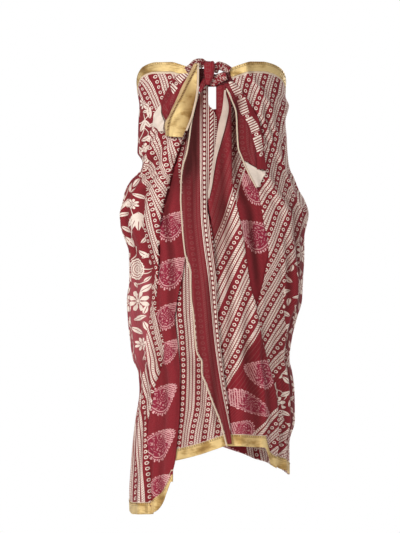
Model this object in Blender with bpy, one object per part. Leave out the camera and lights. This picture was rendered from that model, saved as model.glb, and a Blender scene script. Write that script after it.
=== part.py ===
"""A sarong worn as a strapless wrap: one long cloth wound once round the chest, knotted at the centre
front and falling in open layers to a gold hem.

Every wall lies on one ring surface. Its tables are in millimetres: `across` runs to the viewer's right
from the knot, `height` up from the bust line, and `lift` outwards from the ring. Angles are in degrees
round the wearer: 90 at the centre front, 180 at the left of the front view, 270 at the centre back.
"""
import math
from collections import namedtuple

import bmesh
import bpy
from mathutils import Vector

MM = 0.001
CLOTH = 1.5
SEAM_GAP = 0.3
VIEW_DISTANCE = 5000.0
EYE_ACROSS = -28.6
EYE_HEIGHT = -399.3
WRAP_ROWS = 30
FRONT_ROWS = 30
BAND_ROWS = 2
BACK_SEAM_LEFT = 205.0
BACK_SEAM_RIGHT = -25.0
BACK_MIDDLE = 270.0
FOLD_RADIUS = 155.0
FOLD_FADE = 70.0
FRONT_OUT = 8.0
FLAP_OUT = 12.7
TAIL_OUT = 16.0
GOLD_OUT = 20.0

Ring = namedtuple("Ring", "height left right front back")
RINGS = [
    Ring(60, 158, 156, 112, 106),
    Ring(20, 166, 158, 116, 109),
    Ring(-25, 163, 157, 119, 110),
    Ring(-45, 160, 165, 121, 110),
    Ring(-80, 162, 157, 124, 112),
    Ring(-120, 163, 160, 128, 115),
    Ring(-148, 164, 161, 131, 119),
    Ring(-170, 152, 162, 134, 124),
    Ring(-190, 157, 166, 136, 130),
    Ring(-210, 176, 174, 139, 136),
    Ring(-232, 189, 184, 142, 141),
    Ring(-255, 194, 197, 145, 146),
    Ring(-284, 200, 205, 148, 149),
    Ring(-310, 199, 200, 150, 150),
    Ring(-335, 191, 195, 151, 150),
    Ring(-370, 180, 195, 152, 150),
    Ring(-430, 179, 192, 152, 150),
    Ring(-473, 184, 190, 152, 150),
    Ring(-515, 182, 179, 152, 150),
    Ring(-555, 178, 169, 151, 150),
    Ring(-603, 171, 163, 150, 150),
    Ring(-632, 159, 169, 149, 149),
    Ring(-672, 156, 174, 148, 148),
    Ring(-737, 165, 175, 147, 146),
    Ring(-787, 171, 163, 146, 146),
    Ring(-835, 175, 163, 146, 146),
    Ring(-900, 179, 164, 146, 146),
    Ring(-960, 177, 164, 146, 146),
]

# Edges of the stretches, from the top down, as they stand in the front view.
Edge = namedtuple("Edge", "height across")
LEFT_FOLD = [
    Edge(60, -48), Edge(0, -37), Edge(-22, -31), Edge(-90, -53), Edge(-143, -75), Edge(-183, -88),
    Edge(-222, -98), Edge(-271, -111), Edge(-330, -117), Edge(-409, -120), Edge(-473, -127),
    Edge(-510, -126), Edge(-570, -108), Edge(-612, -114), Edge(-653, -123), Edge(-695, -132),
    Edge(-748, -145), Edge(-860, -142), Edge(-950, -139),
]
FLAP_LEFT = [
    Edge(0, -26), Edge(-22, -31), Edge(-77, -44), Edge(-143, -54), Edge(-196, -67), Edge(-250, -69),
    Edge(-304, -66), Edge(-370, -59), Edge(-409, -48), Edge(-471, -45), Edge(-497, -41),
    Edge(-585, -33), Edge(-609, -22), Edge(-631, -22), Edge(-660, -11), Edge(-702, 4),
    Edge(-737, 18), Edge(-795, 34),
]
FLAP_RIGHT = [
    Edge(0, -11), Edge(-44, -11), Edge(-56, 1), Edge(-95, 14), Edge(-136, 10), Edge(-188, 3),
    Edge(-235, -6), Edge(-262, -13), Edge(-280, -12), Edge(-300, -7), Edge(-330, -2),
    Edge(-374, 3), Edge(-409, 7), Edge(-471, 9), Edge(-532, 12), Edge(-585, 18), Edge(-636, 24),
    Edge(-693, 32), Edge(-737, 36), Edge(-795, 42),
]
LEFT_FRONT_RIGHT = [
    Edge(-22, -20), Edge(-77, -30), Edge(-143, -38), Edge(-196, -50), Edge(-300, -50),
    Edge(-340, -55), Edge(-389, -64), Edge(-429, -70), Edge(-491, -83), Edge(-513, -86),
    Edge(-554, -81), Edge(-625, -74), Edge(-711, -74), Edge(-799, -81), Edge(-829, -84),
    Edge(-850, -88), Edge(-950, -89),
]
FRONT_LEFT = [
    Edge(0, 26), Edge(-10, 25), Edge(-56, 20), Edge(-84, 13), Edge(-128, 6), Edge(-178, -2),
    Edge(-222, -8), Edge(-250, -11), Edge(-262, -10), Edge(-280, -8), Edge(-300, -4),
    Edge(-325, -13), Edge(-374, -7), Edge(-409, -3), Edge(-471, -1), Edge(-532, 2),
    Edge(-585, 8), Edge(-636, 14), Edge(-693, 22), Edge(-737, 25), Edge(-795, 29),
]
FRONT_RIGHT = [
    Edge(0, 33), Edge(-30, 38), Edge(-60, 41), Edge(-202, 42), Edge(-237, 45), Edge(-264, 51),
    Edge(-292, 57), Edge(-325, 64), Edge(-364, 70), Edge(-407, 76), Edge(-449, 83),
    Edge(-484, 94), Edge(-541, 105), Edge(-596, 119), Edge(-653, 135), Edge(-695, 143),
    Edge(-740, 146), Edge(-800, 143), Edge(-860, 139),
]
RIGHT_WRAP_LEFT = [
    Edge(60, 30), Edge(20, 38), Edge(-10, 55), Edge(-60, 78), Edge(-140, 92), Edge(-224, 99),
    Edge(-256, 105), Edge(-311, 114), Edge(-334, 120), Edge(-374, 123), Edge(-407, 116),
    Edge(-451, 106), Edge(-484, 98), Edge(-510, 89), Edge(-541, 93), Edge(-596, 108),
    Edge(-653, 124), Edge(-695, 132), Edge(-740, 135), Edge(-800, 132), Edge(-860, 128),
]

# The tied corners that hang from the knot.
LEFT_TAIL_LEFT = [Edge(26, -72), Edge(9, -91), Edge(-45, -117), Edge(-84, -106), Edge(-100, -107)]
LEFT_TAIL_TIP = [Edge(-46, -121), Edge(-70, -135), Edge(-110, -134)]
LEFT_TAIL_TIP_RIGHT = [Edge(-46, -118.6), Edge(-70, -113), Edge(-84, -109), Edge(-100, -110),
                       Edge(-110, -110)]
GOLD_TAIL_LEFT = [Edge(46, -43), Edge(-26, -79), Edge(-101, -108), Edge(-118, -107)]
GOLD_TAIL_RIGHT = [Edge(46, -36), Edge(-2, -37), Edge(-63, -48), Edge(-100, -62), Edge(-118, -70)]
RIGHT_TAIL_LEFT = [
    Edge(13, 15), Edge(-9, 33), Edge(-33, 44), Edge(-64, 55), Edge(-107, 57), Edge(-137, 59),
    Edge(-162, 68), Edge(-186, 78), Edge(-227, 100),
]
LADDER_LEFT = [
    Edge(8, 32), Edge(-5, 37), Edge(-29, 50), Edge(-60, 59), Edge(-88, 78), Edge(-107, 84),
    Edge(-129, 90), Edge(-152, 96), Edge(-190, 97),
]
LADDER_RIGHT = [Edge(8, 44), Edge(-12, 62), Edge(-53, 89), Edge(-90, 106), Edge(-136, 113), Edge(-190, 117)]
RIGHT_TIP_RIGHT = [Edge(-190, 117), Edge(-227, 103)]
INNER_STRAND_LEFT = [Edge(0, 7), Edge(-52, 7), Edge(-90, 10), Edge(-110, 9)]
INNER_STRAND_RIGHT = [Edge(0, 30), Edge(-52, 30), Edge(-110, 24)]
SELVEDGE_WIDTH = [Edge(-20, 4), Edge(-51, 13), Edge(-84, 15), Edge(-128, 11), Edge(-165, 7),
                  Edge(-222, 6), Edge(-250, 3)]

# The upper edge and the hem all round, by angle, and the hem of the front stretches, by width.
Around = namedtuple("Around", "angle height")
UPPER_EDGE = [
    Around(-90, -35), Around(-25, -18), Around(0, 2), Around(10, 20), Around(24, 37), Around(38, 47),
    Around(49, 51), Around(60, 51), Around(70, 44), Around(78, 37), Around(90, 36),
    Around(109, 40), Around(115, 45), Around(123, 50), Around(138, 50), Around(157, 40),
    Around(168, 22), Around(180, 2), Around(205, -18), Around(270, -35),
]
WRAP_HEM = [
    Around(-90, -800), Around(-50, -836), Around(-25, -850), Around(0, -857), Around(32, -846),
    Around(60, -846), Around(128, -944), Around(163, -944), Around(175, -940), Around(185, -935),
    Around(205, -905), Around(235, -845), Around(270, -800),
]
Hem = namedtuple("Hem", "across height")
LEFT_FRONT_HEM = [Hem(-150, -944), Hem(-143, -944), Hem(-125, -939), Hem(-106, -917), Hem(-95, -893),
                  Hem(-88, -872)]
CENTRE_HEM = [Hem(-100, -830), Hem(-84, -827), Hem(-31, -814), Hem(7, -801), Hem(34, -792),
              Hem(50, -790)]
RIGHT_FRONT_HEM = [Hem(20, -794), Hem(57, -794), Hem(81, -796), Hem(106, -797), Hem(113, -812),
                   Hem(121, -834), Hem(139, -846)]
LEFT_TAIL_END = [Hem(-135, -72), Hem(-109, -103)]
GOLD_TAIL_END = [Hem(-108, -106), Hem(-90, -114), Hem(-70, -116)]
RIGHT_TAIL_END = [Hem(68, -168), Hem(97, -186), Hem(107, -188)]
LADDER_END = [Hem(97, -186), Hem(117, -190)]
TOP_BAND = 21.0
HEM_BAND = 25.0

# Where a stretch starts under the knot or ends under another one, and how far its edges are tucked in.
End = namedtuple("End", "top bottom")
LEFT_FRONT_TOP = -34.0
LEFT_INNER_TOP = -375.0
RIGHT_FRONT_TOP = -14.0
FLAP_END = End(-8.0, -789.0)
VALLEY_END = End(-30.0, -452.0)
SELVEDGE_END = End(-20.0, -250.0)
INNER_STRAND_END = End(-5.0, -108.0)
LEFT_TAIL_HEIGHTS = End(24.0, -98.0)
LEFT_TIP_TOP = -47.0
GOLD_TAIL_TOP = 46.0
GOLD_EDGE_BOTTOM = -102.0
RIGHT_TAIL_TOP = 2.0
LADDER_TOP = 6.0
RIGHT_TIP_BOTTOM = -225.0
TUCK = 8.0
DEEP_TUCK = 9.0
FLAP_TUCK = 12.0
TIP_GAP = 2.2
GOLD_EDGE_WIDTH = 4.5

# Soft folds that every layer follows, from top to bottom, with their height and half their width.
Fold = namedtuple("Fold", "top_angle top mid_angle mid low_angle low height width")
FOLDS = [
    Fold(112, 0, 128, -60, 155, -150, 5, 18),
    Fold(116, -60, 136, -120, 158, -185, 5, 16),
    Fold(120, -130, 138, -200, 160, -280, 6, 20),
    Fold(146, -250, 143, -420, 140, -640, 6, 22),
    Fold(163, -280, 158, -520, 156, -800, 6, 22),
    Fold(128, -200, 124, -420, 121, -900, 7, 20),
    Fold(140, -620, 143, -780, 150, -950, 6, 20),
    Fold(66, 30, 46, -40, 30, -150, 5, 18),
    Fold(54, -60, 38, -140, 24, -190, 5, 16),
    Fold(50, -220, 36, -330, 26, -460, 7, 22),
    Fold(30, -440, 28, -600, 22, -850, 7, 24),
    Fold(81, -60, 76, -330, 70, -800, 7, 20),
    Fold(72, -300, 62, -520, 50, -830, 6, 20),
    Fold(99, -90, 97, -330, 93, -700, 4, 14),
    Fold(8, -200, 4, -420, 8, -860, 3, 24),
    Fold(-26, -150, -24, -450, -28, -860, 6, 26),
    Fold(-44, -170, -50, -430, -46, -840, 8, 30),
    Fold(-68, -120, -72, -400, -66, -820, 7, 28),
    Fold(-92, -180, -90, -460, -96, -810, 8, 30),
    Fold(248, -140, 244, -420, 250, -820, 7, 28),
    Fold(226, -190, 222, -470, 228, -880, 8, 30),
    Fold(208, -160, 210, -440, 206, -900, 6, 26),
    Fold(186, -230, 182, -520, 184, -930, 3, 22),
]

# Gathered strands of the knot: the middle of each section, its width and its thickness.
Gather = namedtuple("Gather", "across height lift width thickness")
KNOT_BACK = [Gather(-55, 20, 4.3, 34, 5), Gather(-20, 16, 2, 38, 5), Gather(5, 10, 2, 25, 5),
             Gather(30, 14, 4, 29, 5), Gather(50, 18, 5.5, 30, 5)]
KNOT_LOOP = [Gather(-8, 28, 6.8, 16, 4), Gather(-8, 48, 13, 21, 6), Gather(-8, 40, 21, 22, 6),
             Gather(-9, 22, 20, 19, 6), Gather(-11, 8, 17, 13, 6), Gather(-11.5, 0, 14, 8, 5)]
KNOT_LEFT = [Gather(-60, 30, 14.8, 13, 5), Gather(-48, 39, 15, 14, 6), Gather(-36, 48, 16, 13, 6),
             Gather(-28, 51, 13, 10, 6), Gather(-23, 46, 9, 8, 5)]
KNOT_RIGHT = [Gather(4.5, 25.5, 6.6, 8, 5), Gather(7.5, 37, 11, 9, 5), Gather(13, 45, 12, 10, 5),
              Gather(23, 42.5, 12.4, 10, 5), Gather(38, 33, 14.4, 9, 5)]
KNOT_CUFF = [Gather(-3, -3, 8, 9, 5), Gather(3, 7, 8, 17, 6), Gather(14, 14, 8.5, 18, 6),
             Gather(30, 17, 14.5, 12, 5)]
KNOT_GATHER = [Gather(-15, 10, 7.5, 13, 6), Gather(-21, 2, 12, 12, 6), Gather(-26, -7, 20, 9, 5),
               Gather(-29.7, -17, 20, 6, 4)]
PIPING_WIDTH = 3.2
PIPING_GAP = 1.3

# How far a stretch stands out at its left edge, its middle and its right edge.
Lift = namedtuple("Lift", "height left middle right")
BACK_LIFT = [Lift(0, 0, 0, 0)]
LEFT_WRAP_LIFT = [Lift(60, 0, 2, 9), Lift(-330, 0, 3, 12), Lift(-420, 0, 3, 8), Lift(-490, 0, 3, 5.5)]
RIGHT_WRAP_LIFT = [Lift(60, 10, 2, 0), Lift(-430, 10, 3, 0), Lift(-470, 6, 3, 0), Lift(-505, 3, 2, 0),
                   Lift(-560, 2, 2, 0)]
LEFT_FRONT_LIFT = [Lift(0, 0, 1, 2), Lift(-300, 0, 2, 2), Lift(-389, 0, 3, 6), Lift(-450, 0.8, 3, 8)]
LEFT_INNER_LIFT = [Lift(-380, 0, 0, 2)]
FLAP_LIFT = [Lift(-60, 15, 8, 4), Lift(-255, 12, 8, 4), Lift(-300, 12, 11, 12), Lift(-800, 12, 12, 12)]
FRONT_LIFT = [Lift(0, 8, 7, 8), Lift(-255, 8, 7, 8), Lift(-300, 5, 6, 8), Lift(-330, 4, 6, 8)]
VALLEY_LIFT = [Lift(-60, 5.2, 0, 6.4)]
INNER_STRAND_LIFT = [Lift(0, 2, 2, 2)]
SELVEDGE_LIFT = [Lift(0, 9.8, 9.8, 9.8)]
LEFT_TAIL_LIFT = [Lift(20, 13, 13.5, 13), Lift(-60, 11.6, 12.7, 12.8)]
GOLD_TAIL_LIFT = [Lift(46, 20, 21, 20), Lift(-10, 17, 21, 19), Lift(-40, 16, 21, 18.8),
                  Lift(-80, 15.9, 22, 18.8)]
GOLD_EDGE_LIFT = [row._replace(left=row.right, middle=row.right) for row in GOLD_TAIL_LIFT]
RIGHT_TAIL_LIFT = [Lift(0, 12.6, 13.6, 12.8)]
LADDER_LIFT = [Lift(0, 15.6, 17.5, 15.6)]


def smooth(share):
    """0 to 1 with no slope at either end."""
    share = min(max(share, 0.0), 1.0)
    return share * share * (3.0 - 2.0 * share)


def read_off(pairs, at):
    """The value at one place of a table of (place, value) pairs, on a curve with no overshoot."""
    pairs = sorted(pairs)
    if at <= pairs[0][0]:
        return pairs[0][1]
    if at >= pairs[-1][0]:
        return pairs[-1][1]
    slopes = [(b[1] - a[1]) / (b[0] - a[0]) for a, b in zip(pairs, pairs[1:])]
    row = next(i for i, pair in enumerate(pairs[1:]) if at <= pair[0])

    def slope_at(i):
        if i == 0 or i == len(pairs) - 1:
            return slopes[min(i, len(slopes) - 1)]
        before, after = slopes[i - 1], slopes[i]
        return 0.0 if before * after <= 0.0 else 2.0 * before * after / (before + after)

    (x0, y0), (x1, y1) = pairs[row], pairs[row + 1]
    span = x1 - x0
    t = (at - x0) / span
    rise, fall = slope_at(row) * span, slope_at(row + 1) * span
    return (y0 * (2 * t**3 - 3 * t**2 + 1) + rise * (t**3 - 2 * t**2 + t)
            + y1 * (3 * t**2 - 2 * t**3) + fall * (t**3 - t**2))


def column_of(table, key, value):
    """A function that reads one column of a table by another."""
    pairs = [(getattr(row, key), getattr(row, value)) for row in table]
    return lambda at: read_off(pairs, at)


ring_left = column_of(RINGS, "height", "left")
ring_right = column_of(RINGS, "height", "right")
ring_front = column_of(RINGS, "height", "front")
ring_back = column_of(RINGS, "height", "back")


def half_width(angle, height):
    """Half the width of the ring on the side where this angle lies."""
    return ring_right(height) if math.cos(math.radians(angle)) > 0 else ring_left(height)


def nearness(angle, height):
    """How much smaller the real size is than the front view shows it, for what lies nearer."""
    return 1.0 - ring_front(height) * max(math.sin(math.radians(angle)), 0.0) / VIEW_DISTANCE


def angle_of(across, height, lift=0.0):
    """The angle at which the front view shows a point at this width, this far out from the ring."""
    side = (ring_right(height) if across > 0 else ring_left(height)) + lift
    depth = (ring_front(height) + lift) * math.sqrt(max(1.0 - (across / side) ** 2, 0.0))
    true_across = EYE_ACROSS + (across - EYE_ACROSS) * (1.0 - depth / VIEW_DISTANCE)
    return math.degrees(math.acos(min(max(true_across / side, -1.0), 1.0)))


def relief(angle, height):
    """The soft folds that all layers share, outwards in millimetres."""
    total = 0.0
    for fold in FOLDS:
        if not fold.low - FOLD_FADE < height < fold.top + FOLD_FADE:
            continue
        middle = read_off([(fold.top, fold.top_angle), (fold.mid, fold.mid_angle),
                           (fold.low, fold.low_angle)], height)
        apart = math.radians((angle - middle + 180.0) % 360.0 - 180.0) * FOLD_RADIUS
        if abs(apart) < fold.width:
            ends = smooth((fold.top + FOLD_FADE - height) / FOLD_FADE) * smooth(
                (height - fold.low + FOLD_FADE) / FOLD_FADE)
            total += fold.height * ends * math.cos(apart / fold.width * math.pi / 2.0) ** 2
    return total


def ring_point(angle, height, lift):
    """A point that the front view shows at this height, `lift` out from the ring and its folds."""
    turn = math.radians(angle)
    side = half_width(angle, height)
    depth = ring_front(height) if math.sin(turn) > 0 else ring_back(height)
    out = Vector((math.cos(turn) / side, -math.sin(turn) / depth, 0.0)).normalized()
    true_height = EYE_HEIGHT + (height - EYE_HEIGHT) * nearness(angle, height)
    on_ring = Vector((side * math.cos(turn), -depth * math.sin(turn), true_height))
    return (on_ring + out * (lift + relief(angle, height))) * MM


def lift_across(row_of, share, height):
    """The lift of a stretch at a share of its width, through its left, middle and right values."""
    left, middle, right = (read(height) for read in row_of)
    if share < 0.5:
        return left + (middle - left) * smooth(share * 2.0)
    return middle + (right - middle) * smooth(share * 2.0 - 1.0)


def closed_shell(name, outer, inner, colour, roughness, metallic=0.0):
    """One closed wall from two grids of points that face each other."""
    rows, columns = len(outer), len(outer[0])
    shell = bmesh.new()
    out = [[shell.verts.new(point) for point in row] for row in outer]
    back = [[shell.verts.new(point) for point in row] for row in inner]
    for i in range(rows - 1):
        for j in range(columns - 1):
            shell.faces.new((out[i][j], out[i + 1][j], out[i + 1][j + 1], out[i][j + 1]))
            shell.faces.new((back[i][j], back[i][j + 1], back[i + 1][j + 1], back[i + 1][j]))
    rim = ([(0, j) for j in range(columns - 1)] + [(i, columns - 1) for i in range(rows - 1)]
           + [(rows - 1, j) for j in range(columns - 1, 0, -1)] + [(i, 0) for i in range(rows - 1, 0, -1)])
    for (i, j), (k, m) in zip(rim, rim[1:] + rim[:1]):
        shell.faces.new((out[i][j], out[k][m], back[k][m], back[i][j]))
    add_object(name, shell, colour, roughness, metallic)


def add_object(name, shell, colour, roughness, metallic):
    """A named object with its own material from a finished mesh."""
    bmesh.ops.recalc_face_normals(shell, faces=shell.faces)
    mesh = bpy.data.meshes.new(name)
    shell.to_mesh(mesh)
    shell.free()
    mesh.shade_smooth()
    material = bpy.data.materials.new(name)
    material.use_nodes = True
    principled = material.node_tree.nodes["Principled BSDF"]
    principled.inputs["Base Color"].default_value = (*colour, 1.0)
    principled.inputs["Roughness"].default_value = roughness
    principled.inputs["Metallic"].default_value = metallic
    mesh.materials.append(material)
    bpy.context.scene.collection.objects.link(bpy.data.objects.new(name, mesh))


RED = (0.25, 0.012, 0.022)
PRINT = (0.42, 0.16, 0.15)
CREAM = (0.83, 0.70, 0.56)
GOLD = (0.55, 0.32, 0.09)
CLOTH_ROUGHNESS = 0.75
GOLD_ROUGHNESS = 0.4
GOLD_METALLIC = 0.6


def panel(name, left, right, top, bottom, lifts, columns, rows, colour=PRINT, gold=False):
    """A stretch of cloth between two side edges, angles by height, and two ends, heights by angle."""
    row_of = [column_of(lifts, "height", side) for side in ("left", "middle", "right")]

    def place(share_across, share_down):
        height = top(90.0) + (bottom(90.0) - top(90.0)) * share_down
        for _ in range(8):
            angle = left(height) + (right(height) - left(height)) * share_across
            height = top(angle) + (bottom(angle) - top(angle)) * share_down
        return angle, height

    outer, inner = [], []
    for i in range(rows + 1):
        places = [place(j / columns, i / rows) for j in range(columns + 1)]
        raised = [lift_across(row_of, j / columns, places[j][1]) for j in range(columns + 1)]
        inner.append([ring_point(a, h, lift) for (a, h), lift in zip(places, raised)])
        outer.append([ring_point(a, h, lift + CLOTH) for (a, h), lift in zip(places, raised)])
    finish = (GOLD, GOLD_ROUGHNESS, GOLD_METALLIC) if gold else (colour, CLOTH_ROUGHNESS)
    closed_shell(name, outer, inner, *finish)


def edge(table, move=0.0, lift=FRONT_OUT):
    """A side edge as angle by height, from a table of widths, moved across by some millimetres."""
    across = column_of(table, "height", "across")
    return lambda height: angle_of(across(height) + move, height, lift)


def at_angle(angle):
    """A side edge that runs straight up and down."""
    return lambda height: angle


def around(table):
    """An end of a stretch as height by angle."""
    height = column_of(table, "angle", "height")
    return lambda angle: height(angle if angle <= BACK_MIDDLE else angle - 360.0)


def moved(end, up):
    """The same end, some millimetres further up."""
    return lambda angle: end(angle) + up


def hem(table):
    """An end of a front stretch as height by angle, from a table of widths."""
    height = column_of(table, "across", "height")

    def at(angle):
        level = height(0.0)
        for _ in range(4):
            scale = nearness(angle, level)
            true_across = half_width(angle, level) * math.cos(math.radians(angle))
            level = height(EYE_ACROSS + (true_across - EYE_ACROSS) / scale)
        return level
    return at


def level(height):
    """An end at one height all along."""
    return lambda angle: height


def banded(name, left, right, lifts, columns, rows, lower, band_name, top):
    """A stretch with its gold hem border."""
    panel(name, left, right, top, moved(lower, HEM_BAND + SEAM_GAP), lifts, columns, rows)
    panel(band_name, left, right, moved(lower, HEM_BAND), lower, lifts, columns, BAND_ROWS, gold=True)


def wrap(name, left, right, lifts, columns, upper, lower):
    """A stretch of the wound cloth, with a gold border along its upper edge and its hem."""
    panel(f"top_gold_{name}", left, right, upper, moved(upper, -TOP_BAND), lifts, columns, BAND_ROWS,
          gold=True)
    banded(f"{name}_wrap", left, right, lifts, columns, WRAP_ROWS, lower, f"hem_gold_{name}",
           moved(upper, -TOP_BAND - SEAM_GAP))


def strand(name, rows, sides, steps, colour):
    """A gathered strand with oval sections along its rows, in the same places as the walls."""
    last = len(rows) - 1
    fields = [[(i, getattr(row, field)) for i, row in enumerate(rows)] for field in Gather._fields]
    middles, ovals = [], []
    for step in range(last * steps + 1):
        across, height, lift, width, thickness = (read_off(field, step / steps) for field in fields)
        angle = angle_of(across, height, lift)
        middles.append(ring_point(angle, height, lift))
        out = (ring_point(angle, height, lift + 1.0) - middles[-1]).normalized()
        ovals.append((out, width * MM / 2.0, thickness * MM / 2.0))
    tube = bmesh.new()
    loops = []
    for i, (middle, (out, half_wide, half_thick)) in enumerate(zip(middles, ovals)):
        along = (middles[min(i + 1, len(middles) - 1)] - middles[max(i - 1, 0)]).normalized()
        side = along.cross(out).normalized()
        raised = side.cross(along).normalized()
        turns = [2.0 * math.pi * k / sides for k in range(sides)]
        loops.append([tube.verts.new(middle + side * half_wide * math.cos(turn)
                                     + raised * half_thick * math.sin(turn)) for turn in turns])
    for near, far in zip(loops, loops[1:]):
        for k in range(sides):
            tube.faces.new((near[k], near[k - 1], far[k - 1], far[k]))
    tube.faces.new(loops[0])
    tube.faces.new(loops[-1])
    add_object(name, tube, colour, CLOTH_ROUGHNESS, 0.0)


def build_wraps():
    """The stretches round the back and the sides, with their gold borders."""
    upper, lower = around(UPPER_EDGE), around(WRAP_HEM)
    gap = math.degrees(SEAM_GAP / FOLD_RADIUS)
    wrap("back", at_angle(BACK_SEAM_LEFT + gap), at_angle(360.0 + BACK_SEAM_RIGHT - gap), BACK_LIFT, 20,
         upper, lower)
    wrap("left", at_angle(BACK_SEAM_LEFT), edge(LEFT_FOLD), LEFT_WRAP_LIFT, 15, upper, lower)
    wrap("right", edge(RIGHT_WRAP_LEFT), at_angle(BACK_SEAM_RIGHT), RIGHT_WRAP_LIFT, 15, upper, lower)


def build_fronts():
    """The open layers that fall from the knot."""
    banded("left_front", edge(LEFT_FOLD, -TUCK), edge(LEFT_FRONT_RIGHT), LEFT_FRONT_LIFT, 7, FRONT_ROWS,
           hem(LEFT_FRONT_HEM), "hem_gold_left_front", level(LEFT_FRONT_TOP))
    banded("left_inner", edge(LEFT_FRONT_RIGHT, -DEEP_TUCK), edge(FLAP_LEFT, FLAP_TUCK), LEFT_INNER_LIFT,
           6, FRONT_ROWS // 2, hem(CENTRE_HEM), "hem_gold_centre", level(LEFT_INNER_TOP))
    panel("front_flap", edge(FLAP_LEFT, lift=FLAP_OUT), edge(FLAP_RIGHT, lift=FLAP_OUT),
          level(FLAP_END.top), level(FLAP_END.bottom), FLAP_LIFT, 6, FRONT_ROWS, RED)
    banded("right_front", edge(FRONT_LEFT), edge(FRONT_RIGHT), FRONT_LIFT, 9, FRONT_ROWS,
           hem(RIGHT_FRONT_HEM), "hem_gold_right_front", level(RIGHT_FRONT_TOP))
    panel("right_valley", edge(FRONT_RIGHT, -DEEP_TUCK), edge(RIGHT_WRAP_LEFT, DEEP_TUCK),
          level(VALLEY_END.top), level(VALLEY_END.bottom), VALLEY_LIFT, 5, 13, RED)
    panel("inner_strand", edge(INNER_STRAND_LEFT), edge(INNER_STRAND_RIGHT),
          level(INNER_STRAND_END.top), level(INNER_STRAND_END.bottom), INNER_STRAND_LIFT, 2, 6, RED)


def build_knot():
    """The gathered strands of the knot."""
    for name, rows, colour in (
            ("knot_back", KNOT_BACK, RED), ("knot_loop", KNOT_LOOP, RED), ("knot_left", KNOT_LEFT, PRINT),
            ("knot_right", KNOT_RIGHT, PRINT), ("knot_cuff", KNOT_CUFF, PRINT),
            ("knot_gather", KNOT_GATHER, RED)):
        strand(name, rows, 10, 3, colour)


def piping_rows(table, lift):
    """The rows of a round piping that runs just outside a side edge, at a lift read by height."""
    beside = PIPING_WIDTH / 2.0 + PIPING_GAP
    return [Gather(row.across - beside, row.height, lift(row.height), PIPING_WIDTH, PIPING_WIDTH)
            for row in table[1:]]


def build_edges():
    """The piped edges of the flap and the right tail, and the turned selvedge of the right front."""
    flap_lift = column_of(FLAP_LIFT, "height", "left")
    tail_lift = column_of(RIGHT_TAIL_LIFT, "height", "left")
    strand("flap_piping", piping_rows(FLAP_LEFT, lambda height: flap_lift(height) + CLOTH / 2.0), 6, 2,
           CREAM)
    strand("right_tail_piping", piping_rows(RIGHT_TAIL_LEFT, lambda height: tail_lift(height) + CLOTH), 6,
           2, CREAM)
    width = column_of(SELVEDGE_WIDTH, "height", "across")
    start = column_of(FRONT_LEFT, "height", "across")
    panel("front_selvedge", edge(FRONT_LEFT, -SEAM_GAP),
          lambda height: angle_of(start(height) + width(height), height),
          level(SELVEDGE_END.top), level(SELVEDGE_END.bottom), SELVEDGE_LIFT, 2, 12, CREAM)


def build_tails():
    """The two tied corners."""
    gold_left, gold_right = edge(GOLD_TAIL_LEFT, lift=GOLD_OUT), edge(GOLD_TAIL_RIGHT, lift=GOLD_OUT)
    panel("left_tail", edge(LEFT_TAIL_LEFT, lift=TAIL_OUT), edge(GOLD_TAIL_LEFT, TUCK, TAIL_OUT),
          level(LEFT_TAIL_HEIGHTS.top), level(LEFT_TAIL_HEIGHTS.bottom), LEFT_TAIL_LIFT, 4, 8, RED)
    panel("left_tail_tip", edge(LEFT_TAIL_TIP, lift=TAIL_OUT),
          edge(LEFT_TAIL_TIP_RIGHT, SEAM_GAP, TAIL_OUT), level(LEFT_TIP_TOP), hem(LEFT_TAIL_END),
          LEFT_TAIL_LIFT, 3, 5, CREAM)
    panel("left_tail_gold", gold_left, gold_right, level(GOLD_TAIL_TOP), hem(GOLD_TAIL_END),
          GOLD_TAIL_LIFT, 6, 12, gold=True)
    panel("left_tail_edge", edge(GOLD_TAIL_RIGHT, SEAM_GAP, GOLD_OUT),
          edge(GOLD_TAIL_RIGHT, SEAM_GAP + GOLD_EDGE_WIDTH, GOLD_OUT), level(GOLD_TAIL_TOP),
          level(GOLD_EDGE_BOTTOM), GOLD_EDGE_LIFT, 1, 10, CREAM)
    right_left = edge(RIGHT_TAIL_LEFT, lift=TAIL_OUT)
    panel("right_tail", right_left, edge(LADDER_LEFT, TUCK, TAIL_OUT), level(RIGHT_TAIL_TOP),
          hem(RIGHT_TAIL_END), RIGHT_TAIL_LIFT, 4, 10, RED)
    panel("right_tail_ladder", edge(LADDER_LEFT, lift=TAIL_OUT), edge(LADDER_RIGHT, lift=TAIL_OUT),
          level(LADDER_TOP), hem(LADDER_END), LADDER_LIFT, 4, 12)
    panel("right_tail_tip", right_left, edge(RIGHT_TIP_RIGHT, lift=TAIL_OUT),
          moved(hem(RIGHT_TAIL_END), -TIP_GAP), level(RIGHT_TIP_BOTTOM), RIGHT_TAIL_LIFT, 4, 5, CREAM)


def main():
    """Clears the scene and builds every stretch of the sarong."""
    for old in list(bpy.data.objects):
        bpy.data.objects.remove(old)
    build_wraps()
    build_fronts()
    build_knot()
    build_edges()
    build_tails()


main()
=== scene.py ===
"""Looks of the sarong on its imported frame: printed voile, gold borders, cream edges, stitches and knot.

Every stretch of cloth lies on one ring surface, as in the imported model. Tables are in millimetres:
`across` runs to the viewer's right from the knot, `height` up from the bust line and `lift` outwards
from the ring. Angles are in degrees: 90 at the centre front, 180 at the left of the front view.
"""

import logging  # noqa: E402
import math  # noqa: E402
from dataclasses import dataclass  # noqa: E402
from enum import Enum  # noqa: E402
from functools import reduce  # noqa: E402
from typing import Callable, NamedTuple, Sequence  # noqa: E402

import bpy  # noqa: E402
import numpy as np  # noqa: E402
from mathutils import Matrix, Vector  # noqa: E402

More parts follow.
